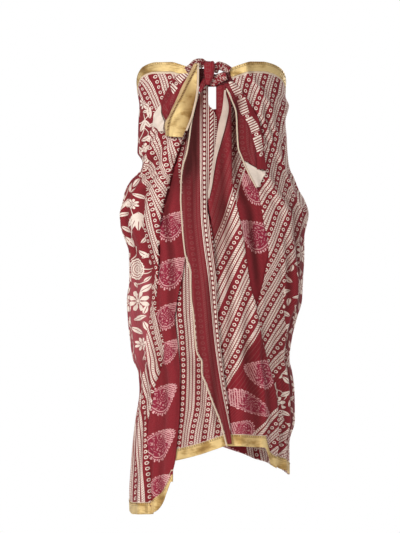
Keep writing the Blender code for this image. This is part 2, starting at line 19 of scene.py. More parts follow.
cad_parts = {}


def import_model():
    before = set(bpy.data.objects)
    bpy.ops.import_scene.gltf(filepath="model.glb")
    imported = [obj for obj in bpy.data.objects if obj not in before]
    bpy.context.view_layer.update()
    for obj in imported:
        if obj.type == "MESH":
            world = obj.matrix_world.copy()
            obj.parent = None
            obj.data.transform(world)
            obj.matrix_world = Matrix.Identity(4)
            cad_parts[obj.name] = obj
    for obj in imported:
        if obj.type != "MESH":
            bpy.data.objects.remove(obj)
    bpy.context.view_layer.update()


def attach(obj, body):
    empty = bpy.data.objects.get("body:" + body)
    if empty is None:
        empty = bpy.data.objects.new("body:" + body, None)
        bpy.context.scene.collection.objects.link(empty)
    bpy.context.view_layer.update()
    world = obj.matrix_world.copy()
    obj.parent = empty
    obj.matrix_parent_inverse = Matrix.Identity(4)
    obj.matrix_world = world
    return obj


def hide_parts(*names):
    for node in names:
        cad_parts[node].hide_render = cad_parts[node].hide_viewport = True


LOG = logging.getLogger("sarong")
MM = 0.001
VIEW_DISTANCE = 5000.0
EYE_ACROSS = -28.6
EYE_HEIGHT = -399.3
VIEW_HEIGHT = 1172.6
SENSOR = 24.0
BACK_SEAM_LEFT = 205.0
BACK_SEAM_RIGHT = -25.0
BACK_MIDDLE = 270.0
FOLD_RADIUS = 155.0
FOLD_FADE = 70.0
LEVEL_STEP = 20.0
TURN_STEP = 3.0
BORDER_FROM, BORDER_TO = 42.0, 138.0
BORDER_SPREAD = 0.58
# Painted light and shade of the cloth: its even level, how much lighter or darker each millimetre of fold
# relief paints it, and how far to the sides that relief is measured.
EVEN_LIGHT = 0.95
LIGHT_PER_MM = 0.08
LIGHT_REACH = 5.0  # degrees to both sides that the light of a point is measured against
THOUSAND = 1000.0  # millimetres in a metre, and what the shares of the form map are kept in
FULL_TURN = 2.0 * math.pi
FRONT_OUT = 8.0
FLAP_OUT = 12.7
TAIL_OUT = 16.0
BORDER_OUT = 9.0
GOLD_OUT = 20.0
TOP_BAND = 21.0
HEM_BAND = 25.0
CLOTH_IN, CLOTH_OUT = 0.05, 0.75
RIBBON_IN, RIBBON_OUT = 0.85, 1.5
TUCK = 8.0
DEEP_TUCK = 9.0
FLAP_TUCK = 12.0
RANDOM_SEED = 11

Array = np.ndarray
AngleEdge = Callable[[Array], Array]
HeightEdge = Callable[[Array], Array]
Colour = tuple[float, float, float]


class Ring(NamedTuple):
    """One level of the ring surface: half widths to both sides and depths to the front and back."""

    height: float
    left: float
    right: float
    front: float
    back: float


class Fold(NamedTuple):
    """A soft fold from top to bottom, by angle, with its height and half its width."""

    top_angle: float
    top: float
    mid_angle: float
    mid: float
    low_angle: float
    low: float
    height: float
    width: float

    def middle(self, height: Array) -> Array:
        """The angle of its middle line at each height."""
        return Curve([self.top, self.mid, self.low],
                     [self.top_angle, self.mid_angle, self.low_angle])(height)


class Lift(NamedTuple):
    """How far a stretch stands out at its left edge, its middle and its right edge."""

    height: float
    left: float
    middle: float
    right: float


class Gather(NamedTuple):
    """One section of a gathered strand: its middle, its width and its thickness."""

    across: float
    height: float
    lift: float
    width: float
    thickness: float


class Guide(NamedTuple):
    """A line of the print: its place across the stripes and its (height, across) points."""

    place: float
    points: tuple[tuple[float, float], ...]


RINGS = (
    Ring(60, 158, 156, 112, 106), Ring(20, 166, 158, 116, 109), Ring(-25, 163, 157, 119, 110),
    Ring(-45, 160, 165, 121, 110), Ring(-80, 162, 157, 124, 112), Ring(-120, 163, 160, 128, 115),
    Ring(-148, 164, 161, 131, 119), Ring(-170, 152, 162, 134, 124), Ring(-190, 157, 166, 136, 130),
    Ring(-210, 176, 174, 139, 136), Ring(-232, 189, 184, 142, 141), Ring(-255, 194, 197, 145, 146),
    Ring(-284, 200, 205, 148, 149), Ring(-310, 199, 200, 150, 150), Ring(-335, 191, 195, 151, 150),
    Ring(-370, 180, 195, 152, 150), Ring(-430, 179, 192, 152, 150), Ring(-473, 184, 190, 152, 150),
    Ring(-515, 182, 179, 152, 150), Ring(-555, 178, 169, 151, 150), Ring(-603, 171, 163, 150, 150),
    Ring(-632, 159, 169, 149, 149), Ring(-672, 156, 174, 148, 148), Ring(-737, 165, 175, 147, 146),
    Ring(-787, 171, 163, 146, 146), Ring(-835, 175, 163, 146, 146), Ring(-900, 179, 164, 146, 146),
    Ring(-960, 177, 164, 146, 146),
)
FOLDS = (
    Fold(112, 0, 128, -60, 155, -150, 5, 18), Fold(116, -60, 136, -120, 158, -185, 5, 16),
    Fold(120, -130, 138, -200, 160, -280, 6, 20), Fold(146, -250, 143, -420, 140, -640, 6, 22),
    Fold(163, -280, 158, -520, 156, -800, 6, 22), Fold(128, -200, 124, -420, 121, -900, 7, 20),
    Fold(140, -620, 143, -780, 150, -950, 6, 20), Fold(66, 30, 46, -40, 30, -150, 5, 18),
    Fold(54, -60, 38, -140, 24, -190, 5, 16), Fold(50, -220, 36, -330, 26, -460, 7, 22),
    Fold(30, -440, 28, -600, 22, -850, 7, 24), Fold(81, -60, 76, -330, 70, -800, 7, 20),
    Fold(72, -300, 62, -520, 50, -830, 6, 20), Fold(99, -90, 97, -330, 93, -700, 4, 14),
    Fold(8, -200, 4, -420, 8, -860, 3, 24), Fold(-26, -150, -24, -450, -28, -860, 6, 26),
    Fold(-44, -170, -50, -430, -46, -840, 8, 30), Fold(-68, -120, -72, -400, -66, -820, 7, 28),
    Fold(-92, -180, -90, -460, -96, -810, 8, 30), Fold(248, -140, 244, -420, 250, -820, 7, 28),
    Fold(226, -190, 222, -470, 228, -880, 8, 30), Fold(208, -160, 210, -440, 206, -900, 6, 26),
    Fold(186, -230, 182, -520, 184, -930, 3, 22),
)
# Narrow creases that only the looks have. All layers follow them too.
CREASES = (
    Fold(118, 10, 140, -20, 165, -60, 2.2, 7), Fold(112, -30, 134, -90, 162, -130, 2.4, 8),
    Fold(124, -110, 146, -160, 172, -190, 3.0, 8), Fold(118, -170, 134, -215, 158, -250, 2.6, 8),
    Fold(64, 10, 44, -20, 16, -70, 2.2, 7), Fold(70, -20, 48, -80, 20, -130, 2.4, 8),
    Fold(56, -110, 36, -165, 10, -195, 2.8, 8), Fold(60, -180, 38, -235, 14, -280, 2.6, 8),
    Fold(133, -250, 130, -420, 134, -700, 2.6, 8), Fold(152, -300, 150, -480, 148, -760, 2.4, 9),
    Fold(116, -300, 113, -520, 115, -860, 2.6, 8), Fold(105, -120, 103, -380, 100, -760, 2.0, 7),
    Fold(92, -100, 90, -380, 84, -760, 2.2, 8), Fold(86, -150, 83, -420, 77, -780, 2.4, 8),
    Fold(66, -240, 58, -420, 54, -700, 2.4, 8), Fold(44, -330, 36, -520, 34, -780, 2.4, 9),
    Fold(24, -260, 18, -480, 14, -800, 2.2, 9), Fold(137, -760, 135, -840, 133, -950, 2.6, 8),
    Fold(-16, -240, -14, -480, -18, -840, 2.2, 9), Fold(-58, -220, -60, -480, -58, -800, 2.6, 10),
    Fold(-80, -100, -82, -300, -80, -560, 2.4, 10), Fold(-104, -220, -108, -480, -104, -800, 2.6, 10),
    Fold(236, -120, 234, -380, 238, -760, 2.4, 10), Fold(216, -260, 214, -520, 218, -880, 2.4, 10),
    Fold(196, -200, 194, -500, 196, -900, 2.2, 9), Fold(174, -260, 171, -520, 172, -880, 2.0, 8),
)

# Painted shadows in the deep folds of the front layers: their height is how much darker they are painted.
SHADOWS = (
    Fold(102, -10, 105, -100, 110, -205, 0.95, 18), Fold(99, -10, 101, -130, 104, -300, 0.25, 8),
    Fold(80, -60, 84, -200, 88, -380, 0.45, 9), Fold(72, -20, 74, -110, 76, -230, 0.70, 9),
    Fold(70, -230, 66, -330, 60, -440, 0.50, 10), Fold(118, -200, 121, -330, 121, -520, 0.35, 8),
    Fold(112, -420, 110, -600, 112, -800, 0.30, 9), Fold(94, -420, 92, -600, 86, -760, 0.35, 10),
    Fold(62, -560, 58, -690, 54, -780, 0.55, 16), Fold(85, -250, 80, -420, 80, -620, 0.30, 9),
    Fold(104, -600, 100, -700, 98, -800, 0.35, 12), Fold(146, -420, 148, -560, 150, -760, 0.30, 12),
    Fold(36, -250, 34, -420, 34, -600, 0.25, 12), Fold(22, -300, 20, -500, 20, -800, 0.42, 26),
)

LEFT_FOLD = (
    (60, -48), (0, -37), (-22, -31), (-90, -53), (-143, -75), (-183, -88), (-222, -98), (-271, -111),
    (-330, -117), (-409, -120), (-473, -127), (-510, -126), (-570, -108), (-612, -114), (-653, -123),
    (-695, -132), (-748, -145), (-860, -142), (-950, -139),
)
FLAP_LEFT = (
    (0, -26), (-22, -31), (-77, -44), (-143, -54), (-196, -67), (-250, -69), (-304, -66), (-370, -59),
    (-409, -48), (-471, -45), (-497, -41), (-585, -33), (-609, -22), (-631, -22), (-660, -11),
    (-702, 4), (-737, 18), (-795, 34),
)
FLAP_RIGHT = (
    (0, -11), (-38, -11), (-47, -8), (-54, 0), (-95, 14), (-136, 10), (-188, 3), (-235, -6), (-262, -13),
    (-280, -12), (-300, -7), (-330, -2), (-374, 3), (-409, 7), (-471, 9), (-532, 12), (-585, 18),
    (-636, 24), (-693, 32), (-737, 36), (-795, 42),
)
LEFT_FRONT_RIGHT = (
    (-22, -20), (-77, -30), (-143, -38), (-196, -50), (-300, -50), (-340, -55), (-389, -64),
    (-429, -70), (-491, -83), (-513, -86), (-554, -81), (-625, -74), (-711, -74), (-799, -81),
    (-829, -84), (-850, -88), (-950, -89),
)
FRONT_LEFT = (
    (0, 26), (-10, 25), (-56, 20), (-84, 13), (-128, 6), (-178, -2), (-222, -8), (-250, -11),
    (-262, -10), (-280, -8), (-300, -4), (-325, -13), (-374, -7), (-409, -3), (-471, -1), (-532, 2),
    (-585, 8), (-636, 14), (-693, 22), (-737, 25), (-795, 29),
)
FRONT_RIGHT = (
    (0, 33), (-30, 38), (-60, 41), (-202, 42), (-237, 45), (-264, 51), (-292, 57), (-325, 64),
    (-364, 70), (-407, 76), (-449, 83), (-484, 94), (-541, 105), (-596, 119), (-653, 135),
    (-695, 143), (-740, 146), (-800, 143), (-860, 139),
)
RIGHT_WRAP_LEFT = (
    (60, 30), (20, 38), (-10, 55), (-60, 78), (-140, 92), (-224, 99), (-256, 105), (-311, 114),
    (-334, 120), (-374, 123), (-407, 116), (-451, 106), (-484, 98), (-510, 89), (-541, 93),
    (-596, 108), (-653, 124), (-695, 132), (-740, 135), (-800, 132), (-860, 128),
)
LEFT_TAIL_LEFT = ((26, -72), (9, -91), (-45, -117), (-84, -106), (-100, -107))
TAIL_BARS = ((24, -80), (15, -86), (-4, -92), (-24, -81), (-30, -60), (-98, -50))
LEFT_TAIL_TIP = ((-46, -121), (-70, -135), (-110, -134))
LEFT_TAIL_TIP_RIGHT = ((-46, -118.6), (-70, -113), (-84, -109), (-100, -110), (-110, -110))
GOLD_TAIL_LEFT = ((46, -43), (-26, -79), (-101, -108), (-118, -107))
GOLD_TAIL_RIGHT = ((46, -36), (-2, -37), (-63, -48), (-100, -62), (-118, -70))
RIGHT_TAIL_LEFT = (
    (13, 15), (-9, 33), (-33, 44), (-64, 55), (-107, 57), (-137, 59), (-162, 68), (-186, 78),
    (-227, 100),
)
LADDER_LEFT = (
    (8, 32), (-5, 37), (-29, 50), (-60, 59), (-88, 78), (-107, 84), (-129, 90), (-152, 96), (-190, 97),
)
LADDER_RIGHT = ((8, 44), (-12, 62), (-53, 89), (-90, 106), (-136, 113), (-190, 117))
RIGHT_TIP_RIGHT = ((-190, 117), (-227, 103))
INNER_STRAND_LEFT = ((0, 7), (-52, 7), (-90, 10), (-110, 9))
INNER_STRAND_RIGHT = ((0, 30), (-52, 30), (-110, 24))
SELVEDGE_WIDTH = ((-20, 4), (-51, 13), (-84, 15), (-128, 11), (-165, 7), (-222, 6), (-250, 3))

# Ends by angle (the wound cloth) and by width (the front layers).
UPPER_EDGE = (
    (-90, -46), (-25, -20), (0, 2), (10, 20), (24, 37), (38, 47), (49, 51), (60, 51), (70, 44),
    (78, 37), (90, 36), (109, 40), (115, 45), (123, 50), (138, 50), (157, 40), (168, 22), (180, 2),
    (205, -20), (270, -46),
)
WRAP_HEM = (
    (-90, -800), (-50, -836), (-25, -850), (0, -857), (28, -845), (44, -830), (60, -822), (128, -944),
    (163, -944), (175, -940), (185, -935), (205, -905), (235, -845), (270, -800),
)
LEFT_FRONT_HEM = ((-150, -944), (-143, -944), (-125, -939), (-106, -917), (-95, -893), (-88, -872))
LEFT_BAND_TOP = ((-150, -919), (-143, -919), (-125, -908), (-106, -891), (-95, -876), (-86, -856))
CENTRE_HEM = ((-100, -830), (-84, -827), (-31, -814), (7, -801), (34, -792), (50, -790))
RIGHT_FRONT_HEM = (
    (20, -794), (57, -794), (81, -796), (106, -797), (113, -812), (121, -834), (139, -846),
)
LEFT_TAIL_END = ((-135, -72), (-109, -103))
GOLD_TAIL_END = ((-108, -106), (-90, -114), (-70, -116))
RIGHT_TAIL_END = ((68, -168), (97, -186), (107, -188))
LADDER_END = ((97, -186), (117, -190))

LEFT_WRAP_LIFT = (Lift(60, 0, 2, 9), Lift(-330, 0, 3, 12), Lift(-420, 0, 3, 8), Lift(-490, 0, 3, 5.5))
RIGHT_WRAP_LIFT = (Lift(60, 10, 2, 0), Lift(-430, 10, 3, 0), Lift(-470, 6, 3, 0),
                   Lift(-505, 3, 2, 0), Lift(-560, 2, 2, 0))
LEFT_FRONT_LIFT = (Lift(0, 0, 1, 2), Lift(-300, 0, 2, 2), Lift(-389, 0, 3, 4), Lift(-450, 0.8, 3, 5.5))
LEFT_INNER_LIFT = (Lift(-380, 0, 0, 2),)
FLAP_LIFT = (Lift(-60, 15, 8, 4), Lift(-255, 12, 8, 4), Lift(-300, 12, 11, 12), Lift(-800, 12, 12, 12))
FRONT_LIFT = (Lift(0, 8, 7, 8), Lift(-255, 8, 7, 8), Lift(-300, 5, 6, 8), Lift(-330, 4, 6, 8))
VALLEY_LIFT = (Lift(-430, 5.2, 0, 6.4), Lift(-470, 3, 0, 2.6), Lift(-505, 1, 0, 0.4))
INNER_STRAND_LIFT = (Lift(0, 2, 2, 2),)
SELVEDGE_LIFT = (Lift(0, 9.8, 9.8, 9.8),)
LEFT_TAIL_LIFT = (Lift(20, 13, 13.5, 13), Lift(-60, 11.6, 12.7, 12.8))
GOLD_TAIL_LIFT = (Lift(46, 20, 21, 20), Lift(-10, 17, 21, 19), Lift(-40, 16, 21, 18.8),
                  Lift(-80, 15.9, 22, 18.8))
RIGHT_TAIL_LIFT = (Lift(0, 12.6, 13.6, 12.8),)
LADDER_LIFT = (Lift(0, 15.6, 17.5, 15.6),)

KNOT_BACK = (Gather(-55, 20, 4.3, 34, 5), Gather(-20, 16, 2, 38, 5), Gather(5, 10, 2, 25, 5),
             Gather(30, 14, 4, 29, 5), Gather(50, 18, 5.5, 30, 5))
KNOT_LOOP = (Gather(-8, 28, 6.8, 16, 4), Gather(-8, 48, 13, 21, 6), Gather(-8, 40, 21, 22, 6),
             Gather(-9, 22, 20, 19, 6), Gather(-11, 8, 17, 13, 6), Gather(-11.5, 0, 14, 8, 5))
KNOT_LEFT = (Gather(-60, 30, 14.8, 15, 5), Gather(-48, 39, 15, 16, 6), Gather(-36, 47, 15.5, 18, 6),
             Gather(-27, 47, 13, 19, 6), Gather(-20, 41, 9, 16, 5))
KNOT_RIGHT = (Gather(4.5, 27, 6.6, 11, 5), Gather(7.5, 36, 11, 13, 5), Gather(13, 42, 12, 16, 5),
              Gather(23, 38.5, 12.4, 17, 5), Gather(38, 31, 14.4, 14, 5))
KNOT_CUFF = (Gather(-3, -3, 8, 9, 5), Gather(3, 7, 8, 17, 6), Gather(14, 14.5, 8.5, 19, 6),
             Gather(30, 18.5, 14.5, 15, 5))
KNOT_GATHER = (Gather(-15, 10, 7.5, 13, 6), Gather(-21, 2, 12, 12, 6), Gather(-26, -7, 20, 9, 5),
               Gather(-29.7, -17, 20, 6, 4))
PIPING_WIDTH = 3.2
PIPING_GAP = 1.3

# Lines of the print that the front view shows, each 31 mm apart on the cloth where two are neighbours.
LEFT_STRIPES = (
    Guide(-273, ((-517, -260), (-594, -227), (-660, -205), (-704, -189), (-748, -183), (-825, -189),
        (-913, -198))),
    Guide(-242, ((-473, -238), (-550, -209), (-616, -187), (-671, -172), (-715, -161), (-803, -163),
        (-913, -167))),
    Guide(-211, ((-407, -227), (-495, -194), (-572, -169), (-631, -155), (-708, -143), (-781, -141),
        (-900, -136))),
    Guide(-180, ((-341, -216), (-440, -178), (-528, -154), (-587, -140), (-662, -126), (-719, -114),
        (-913, -108))),
    Guide(-149, ((-253, -216), (-341, -183), (-451, -147), (-491, -139), (-534, -130), (-607, -111),
        (-675, -95))),
    Guide(-118, ((-187, -222), (-253, -187), (-330, -161), (-389, -143), (-451, -130), (-495, -121),
        (-570, -103))),
    Guide(-87, ((-143, -222), (-205, -183), (-253, -161), (-310, -145), (-409, -117), (-462, -103))),
    Guide(-56, ((-99, -227), (-161, -187), (-191, -165), (-222, -145), (-251, -130), (-316, -114),
        (-367, -99))),
    Guide(-25, ((-22, -249), (-95, -205), (-139, -176), (-171, -153), (-211, -128), (-231, -114),
        (-271, -95))),
    Guide(6, ((55, -240), (-22, -187), (-73, -163), (-117, -141), (-145, -128), (-184, -108),
        (-231, -90))),
    Guide(37, ((66, -205), (22, -174), (-22, -145), (-73, -121), (-112, -103), (-177, -93), (-242, -81))),
    Guide(68, ((99, -154), (51, -139), (16, -122), (-22, -111), (-99, -86), (-135, -73), (-191, -59))),
)
RIGHT_STRIPES = (
    Guide(6, ((59, 86), (16, 75), (-17, 67), (-77, 51))),
    Guide(37, ((59, 125), (20, 112), (-38, 93), (-95, 75), (-143, 59), (-187, 44))),
    Guide(68, ((55, 154), (5, 136), (-54, 120), (-110, 99), (-165, 81), (-209, 66))),
    Guide(99, ((11, 169), (-42, 151), (-115, 130), (-154, 122), (-198, 108), (-235, 90))),
    Guide(130, ((-55, 174), (-110, 158), (-160, 144), (-211, 136), (-246, 120), (-306, 90))),
    Guide(161, ((-132, 183), (-195, 162), (-224, 156), (-285, 133), (-317, 123), (-389, 88))),
    Guide(192, ((-176, 196), (-227, 178), (-272, 162), (-320, 146), (-362, 133), (-438, 95))),
    Guide(223, ((-242, 209), (-301, 187), (-337, 172), (-367, 156), (-403, 136), (-475, 95))),
    Guide(254, ((-308, 213), (-348, 194), (-381, 174), (-418, 156), (-460, 135), (-546, 92))),
    Guide(285, ((-381, 209), (-418, 187), (-458, 167), (-504, 144), (-561, 112), (-592, 95))),
    Guide(316, ((-440, 209), (-484, 187), (-517, 169), (-552, 151), (-601, 123), (-631, 103))),
    Guide(347, ((-506, 209), (-539, 191), (-568, 174), (-598, 156), (-634, 132), (-671, 108))),
    Guide(409, ((-693, 205), (-719, 174), (-746, 154), (-781, 125), (-803, 108))),
    Guide(440, ((-733, 200), (-755, 178), (-777, 158), (-803, 136), (-825, 121))),
    Guide(471, ((-772, 200), (-792, 180), (-814, 161), (-838, 143), (-865, 125))),
)
FRONT_STRIPES = (
    Guide(0, ((11, 108), (-176, 51), (-205, 42), (-286, 20), (-341, 0), (-396, -22), (-561, -95))),
    Guide(37, ((-121, 147), (-275, 81), (-306, 66), (-333, 51), (-404, 15), (-455, -11))),
    Guide(68, ((-187, 169), (-334, 95), (-394, 66), (-438, 48), (-515, 18), (-568, -7))),
    Guide(99, ((-231, 191), (-385, 108), (-446, 78), (-581, 22), (-625, 2))),
    Guide(130, ((-286, 205), (-451, 121), (-506, 90), (-641, 25), (-689, 2))),
    Guide(148, ((-319, 235), (-541, 101), (-671, 26), (-746, -18))),
    Guide(223, ((-623, 257), (-702, 169), (-733, 141), (-770, 112), (-814, 77))),
    Guide(254, ((-682, 257), (-746, 174), (-765, 150), (-792, 121), (-829, 92))),
    Guide(285, ((-726, 257), (-781, 183), (-799, 158), (-818, 138), (-858, 108))),
)
VALLEY_STRIPES = (
    Guide(6, ((-55, 125), (-121, 92), (-173, 67), (-224, 48), (-264, 33))),
    Guide(22, ((-66, 139), (-121, 108), (-185, 75), (-262, 51), (-306, 37))),
)
INNER_STRIPES = (
    Guide(6, ((-363, -73), (-486, -73), (-557, -67), (-627, -64), (-698, -66), (-792, -74), (-825, -77))),
    Guide(37, ((-363, -40), (-486, -37), (-557, -34), (-607, -31), (-698, -32), (-769, -46), (-816, -51))),
    Guide(68, ((-363, -9), (-486, -7), (-557, -4), (-627, -3), (-698, -9), (-783, -20), (-814, -24))),
    Guide(99, ((-363, 24), (-486, 24), (-627, 24), (-698, 18), (-781, 7), (-814, 2))),
)
FLAP_LINES = (
    Guide(70, ((0, -27), (-143, -27), (-266, -26), (-442, -8), (-563, 3), (-664, 17), (-726, 29),
        (-803, 44))),
    Guide(86, ((0, -9), (-143, -9), (-266, -10), (-442, 8), (-563, 17), (-664, 28), (-715, 35),
        (-803, 53))),
)
# Where one part of the print gives way to the next.
LEFT_VINE = (
    (11, -209), (-22, -163), (-44, -139), (-73, -125), (-99, -130), (-132, -134), (-161, -145),
    (-183, -152), (-200, -155), (-224, -141), (-264, -143), (-304, -146), (-356, -135), (-409, -121),
    (-458, -128), (-513, -134), (-561, -139), (-618, -143), (-667, -152), (-704, -165), (-737, -200),
    (-800, -260),
)
RIGHT_VINE = (
    (-143, 231), (-209, 218), (-286, 205), (-330, 189), (-383, 169), (-429, 154), (-462, 150),
    (-513, 152), (-570, 155), (-605, 165), (-634, 150), (-653, 136), (-686, 140), (-698, 144),
    (-752, 158), (-772, 174), (-794, 191),
)
FRONT_LOW = ((-319, 235), (-541, 101), (-671, 26), (-746, -18))
FRONT_CORNER = ((-583, 257), (-680, 169), (-704, 145), (-765, 90), (-807, 48))
LEFT_FRONT_STRIPES = (
    (-55, -66), (-121, -70), (-183, -79), (-220, -75), (-253, -66), (-288, -46), (-341, 59),
)


class Curve:
    """A smooth curve with no overshoot through a short table of places and values."""

    def __init__(self, places: Sequence[float], values: Sequence[float], beyond: bool = False) -> None:
        """Prepares the slopes.

        Args:
            places: The places, in any order.
            values: The value at each place.
            beyond: Whether the curve runs on past its ends with their slope.
        """
        order = np.argsort(places)
        self.x = np.asarray(places, float)[order]
        self.y = np.asarray(values, float)[order]
        self.beyond = beyond
        if len(self.x) == 1:
            return
        steps = np.diff(self.y) / np.diff(self.x)
        self.slope = np.concatenate([steps[:1], np.zeros(len(steps) - 1), steps[-1:]])
        before, after = steps[:-1], steps[1:]
        same = before * after > 0.0
        total = np.where(same, before + after, 1.0)
        self.slope[1:-1] = np.where(same, 2.0 * before * after / total, 0.0)

    def __call__(self, at: Array | float) -> Array:
        """The value at each place.

        Args:
            at: The places.

        Returns:
            The values, in the same shape.
        """
        at = np.asarray(at, float)
        if len(self.x) == 1:
            return np.full(at.shape, self.y[0])
        inside = np.clip(at, self.x[0], self.x[-1])
        row = np.clip(np.searchsorted(self.x, inside) - 1, 0, len(self.x) - 2)
        span = self.x[row + 1] - self.x[row]
        t = (inside - self.x[row]) / span
        value = (self.y[row] * (2 * t**3 - 3 * t**2 + 1) + self.slope[row] * span * (t**3 - 2 * t**2 + t)
                 + self.y[row + 1] * (3 * t**2 - 2 * t**3)
                 + self.slope[row + 1] * span * (t**3 - t**2))
        if self.beyond:
            value = value + (at - inside) * np.where(at < self.x[0], self.slope[0], self.slope[-1])
        return value


def points_curve(points: Sequence[tuple[float, float]], beyond: bool = False) -> Curve:
    """A curve through (place, value) pairs."""
    return Curve([p[0] for p in points], [p[1] for p in points], beyond)


def smooth(share: Array) -> Array:
    """0 to 1 with no slope at either end."""
    share = np.clip(share, 0.0, 1.0)
    return share * share * (3.0 - 2.0 * share)


class RingForm:
    """The ring surface that every layer follows."""

    def __init__(self) -> None:
        """Reads the ring table and measures how far round each angle lies."""
        heights = [ring.height for ring in RINGS]
        self.left, self.right, self.front, self.back = (
            Curve(heights, [getattr(ring, side) for ring in RINGS])
            for side in ("left", "right", "front", "back"))
        self.levels = np.arange(-980.0, 81.0, LEVEL_STEP)
        self.turns = np.arange(-300.0, 301.0, TURN_STEP)
        level, turn = np.meshgrid(self.levels, np.radians(self.turns), indexing="ij")
        side, depth = self.half_axes(np.degrees(turn), level)
        speed = np.hypot(side * np.sin(turn), depth * np.cos(turn)) * math.radians(TURN_STEP)
        total = np.cumsum(speed, axis=1)
        start = np.searchsorted(self.turns, 90.0)
        self.lengths = -(total - total[:, start:start + 1])

    def half_axes(self, angle: Array, height: Array) -> tuple[Array, Array]:
        """The half width and half depth of the ring on the side where each angle lies."""
        turn = np.radians(angle)
        return (np.where(np.cos(turn) > 0, self.right(height), self.left(height)),
                np.where(np.sin(turn) > 0, self.front(height), self.back(height)))

    def nearness(self, angle: Array, height: Array) -> Array:
        """How much smaller the real size is than the front view shows it, for what lies nearer."""
        return 1.0 - self.front(height) * np.maximum(np.sin(np.radians(angle)), 0.0) / VIEW_DISTANCE

    def angle_of(self, across: Array, height: Array, lift: float = 0.0) -> Array:
        """The angle at which the front view shows a point, and past the side what lies behind it.

        Args:
            across: The width at which the point shows.
            height: The height at which the point shows.
            lift: How far out from the ring the point lies.

        Returns:
            The angle in degrees.
        """
        side = np.where(across > 0, self.right(height), self.left(height)) + lift
        share = np.clip(across / side, -1.0, 1.0)
        depth = (self.front(height) + lift) * np.sqrt(1.0 - share**2)
        true_across = EYE_ACROSS + (share * side - EYE_ACROSS) * (1.0 - depth / VIEW_DISTANCE)
        angle = np.degrees(np.arccos(np.clip(true_across / side, -1.0, 1.0)))
        return angle - np.degrees((across - share * side) / FOLD_RADIUS)

    def along(self, angle: Array, height: Array) -> Array:
        """How far to the viewer's right a point lies, measured round the ring from the front.

        Args:
            angle: The angle of each point.
            height: Its height.

        Returns:
            The millimetres round, less than none to the left.
        """
        row = np.clip((height - self.levels[0]) / LEVEL_STEP, 0.0, len(self.levels) - 1.001)
        column = np.clip((angle - self.turns[0]) / TURN_STEP, 0.0, len(self.turns) - 1.001)
        i, j = row.astype(int), column.astype(int)
        a, b = row - i, column - j
        near = self.lengths[i, j] * (1 - b) + self.lengths[i, j + 1] * b
        far = self.lengths[i + 1, j] * (1 - b) + self.lengths[i + 1, j + 1] * b
        return near * (1 - a) + far * a

    def spread(self, angle: Array, height: Array) -> Array:
        """Like `along`, but the figures of the border grow wider towards the sides."""
        held = self.along(np.clip(angle, BORDER_FROM, BORDER_TO), height)
        return held + (self.along(angle, height) - held) * BORDER_SPREAD

    def relief(self, angle: Array, height: Array) -> Array:
        """The folds and creases that all layers share.

        Args:
            angle: The angle of each point.
            height: Its height.

        Returns:
            How far outwards they lift each point, in millimetres.
        """
        total = np.zeros(np.broadcast(angle, height).shape)
        for fold in FOLDS + CREASES:
            turn = (angle - fold.middle(height) + 180.0) % 360.0 - 180.0
            apart = np.radians(turn) * FOLD_RADIUS
            ends = smooth((fold.top + FOLD_FADE - height) / FOLD_FADE) * smooth(
                (height - fold.low + FOLD_FADE) / FOLD_FADE)
            ridge = np.cos(np.clip(apart / fold.width, -1.0, 1.0) * np.pi / 2.0) ** 2
            total += fold.height * ends * ridge
        return total

    def shadow(self, angle: Array, height: Array) -> Array:
        """Painted shade where the front layers lie deep in their folds, where they look darkest.

        Args:
            angle: The angle of each point.
            height: Its height.

        Returns:
            How much darker each point is painted, with 1 for the most.
        """
        total = np.zeros(np.broadcast(angle, height).shape)
        for deep in SHADOWS:
            apart = np.radians(angle - deep.middle(height)) * FOLD_RADIUS
            ends = smooth((deep.top + 25.0 - height) / 50.0) * smooth((height - deep.low + 60.0) / 90.0)
            total += deep.height * ends * np.exp(-((apart / deep.width) ** 2))
        return total

    def shading(self, angle: Array, height: Array) -> Array:
        """The painted light and shade of the cloth: painted shade in the valleys between folds, painted light
        on their ridges, and the painted shadows.

        Args:
            angle: The angle of each point.
            height: Its height.

        Returns:
            The painted light in thousandths.
        """
        here = self.relief(angle, height)
        near = (self.relief(angle - LIGHT_REACH, height) + self.relief(angle + LIGHT_REACH, height)) / 2.0
        light = EVEN_LIGHT + (here - near) * LIGHT_PER_MM - self.shadow(angle, height)
        return np.clip(light, 0.0, 1.0) * THOUSAND

    def place(self, angle: Array, height: Array, lift: Array) -> Array:
        """Points that the front view shows at these heights.

        Args:
            angle: The angle of each point.
            height: The height at which it shows.
            lift: How far out from the ring it lies, before folds and creases.

        Returns:
            The points in metres, along the last axis.
        """
        turn = np.radians(angle)
        side, depth = self.half_axes(angle, height)
        out_x, out_y = np.cos(turn) / side, -np.sin(turn) / depth
        size = np.hypot(out_x, out_y)
        out = lift + self.relief(angle, height)
        true_height = EYE_HEIGHT + (height - EYE_HEIGHT) * self.nearness(angle, height)
        return np.stack([side * np.cos(turn) + out_x / size * out,
                         -depth * np.sin(turn) + out_y / size * out,
                         true_height + 0.0 * out], axis=-1) * MM


FORM = RingForm()


def edge(table: Sequence[tuple[float, float]], move: float = 0.0, lift: float = FRONT_OUT) -> AngleEdge:
    """A side edge as angle by height, moved across by some millimetres."""
    across = points_curve(table)
    return lambda height: FORM.angle_of(across(height) + move, height, lift)


def around(table: Sequence[tuple[float, float]]) -> HeightEdge:
    """An end as height by angle, for angles on either side of the centre back."""
    height = points_curve(table)
    return lambda angle: height(np.where(angle < BACK_MIDDLE - 360.0, angle + 360.0,
                                         np.where(angle > BACK_MIDDLE, angle - 360.0, angle)))


def moved(end: HeightEdge, up: float) -> HeightEdge:
    """The same end, some millimetres further up."""
    return lambda angle: end(angle) + up


def level(height: float) -> HeightEdge:
    """An end at one height all along."""
    return lambda angle: np.full(np.shape(angle), height)


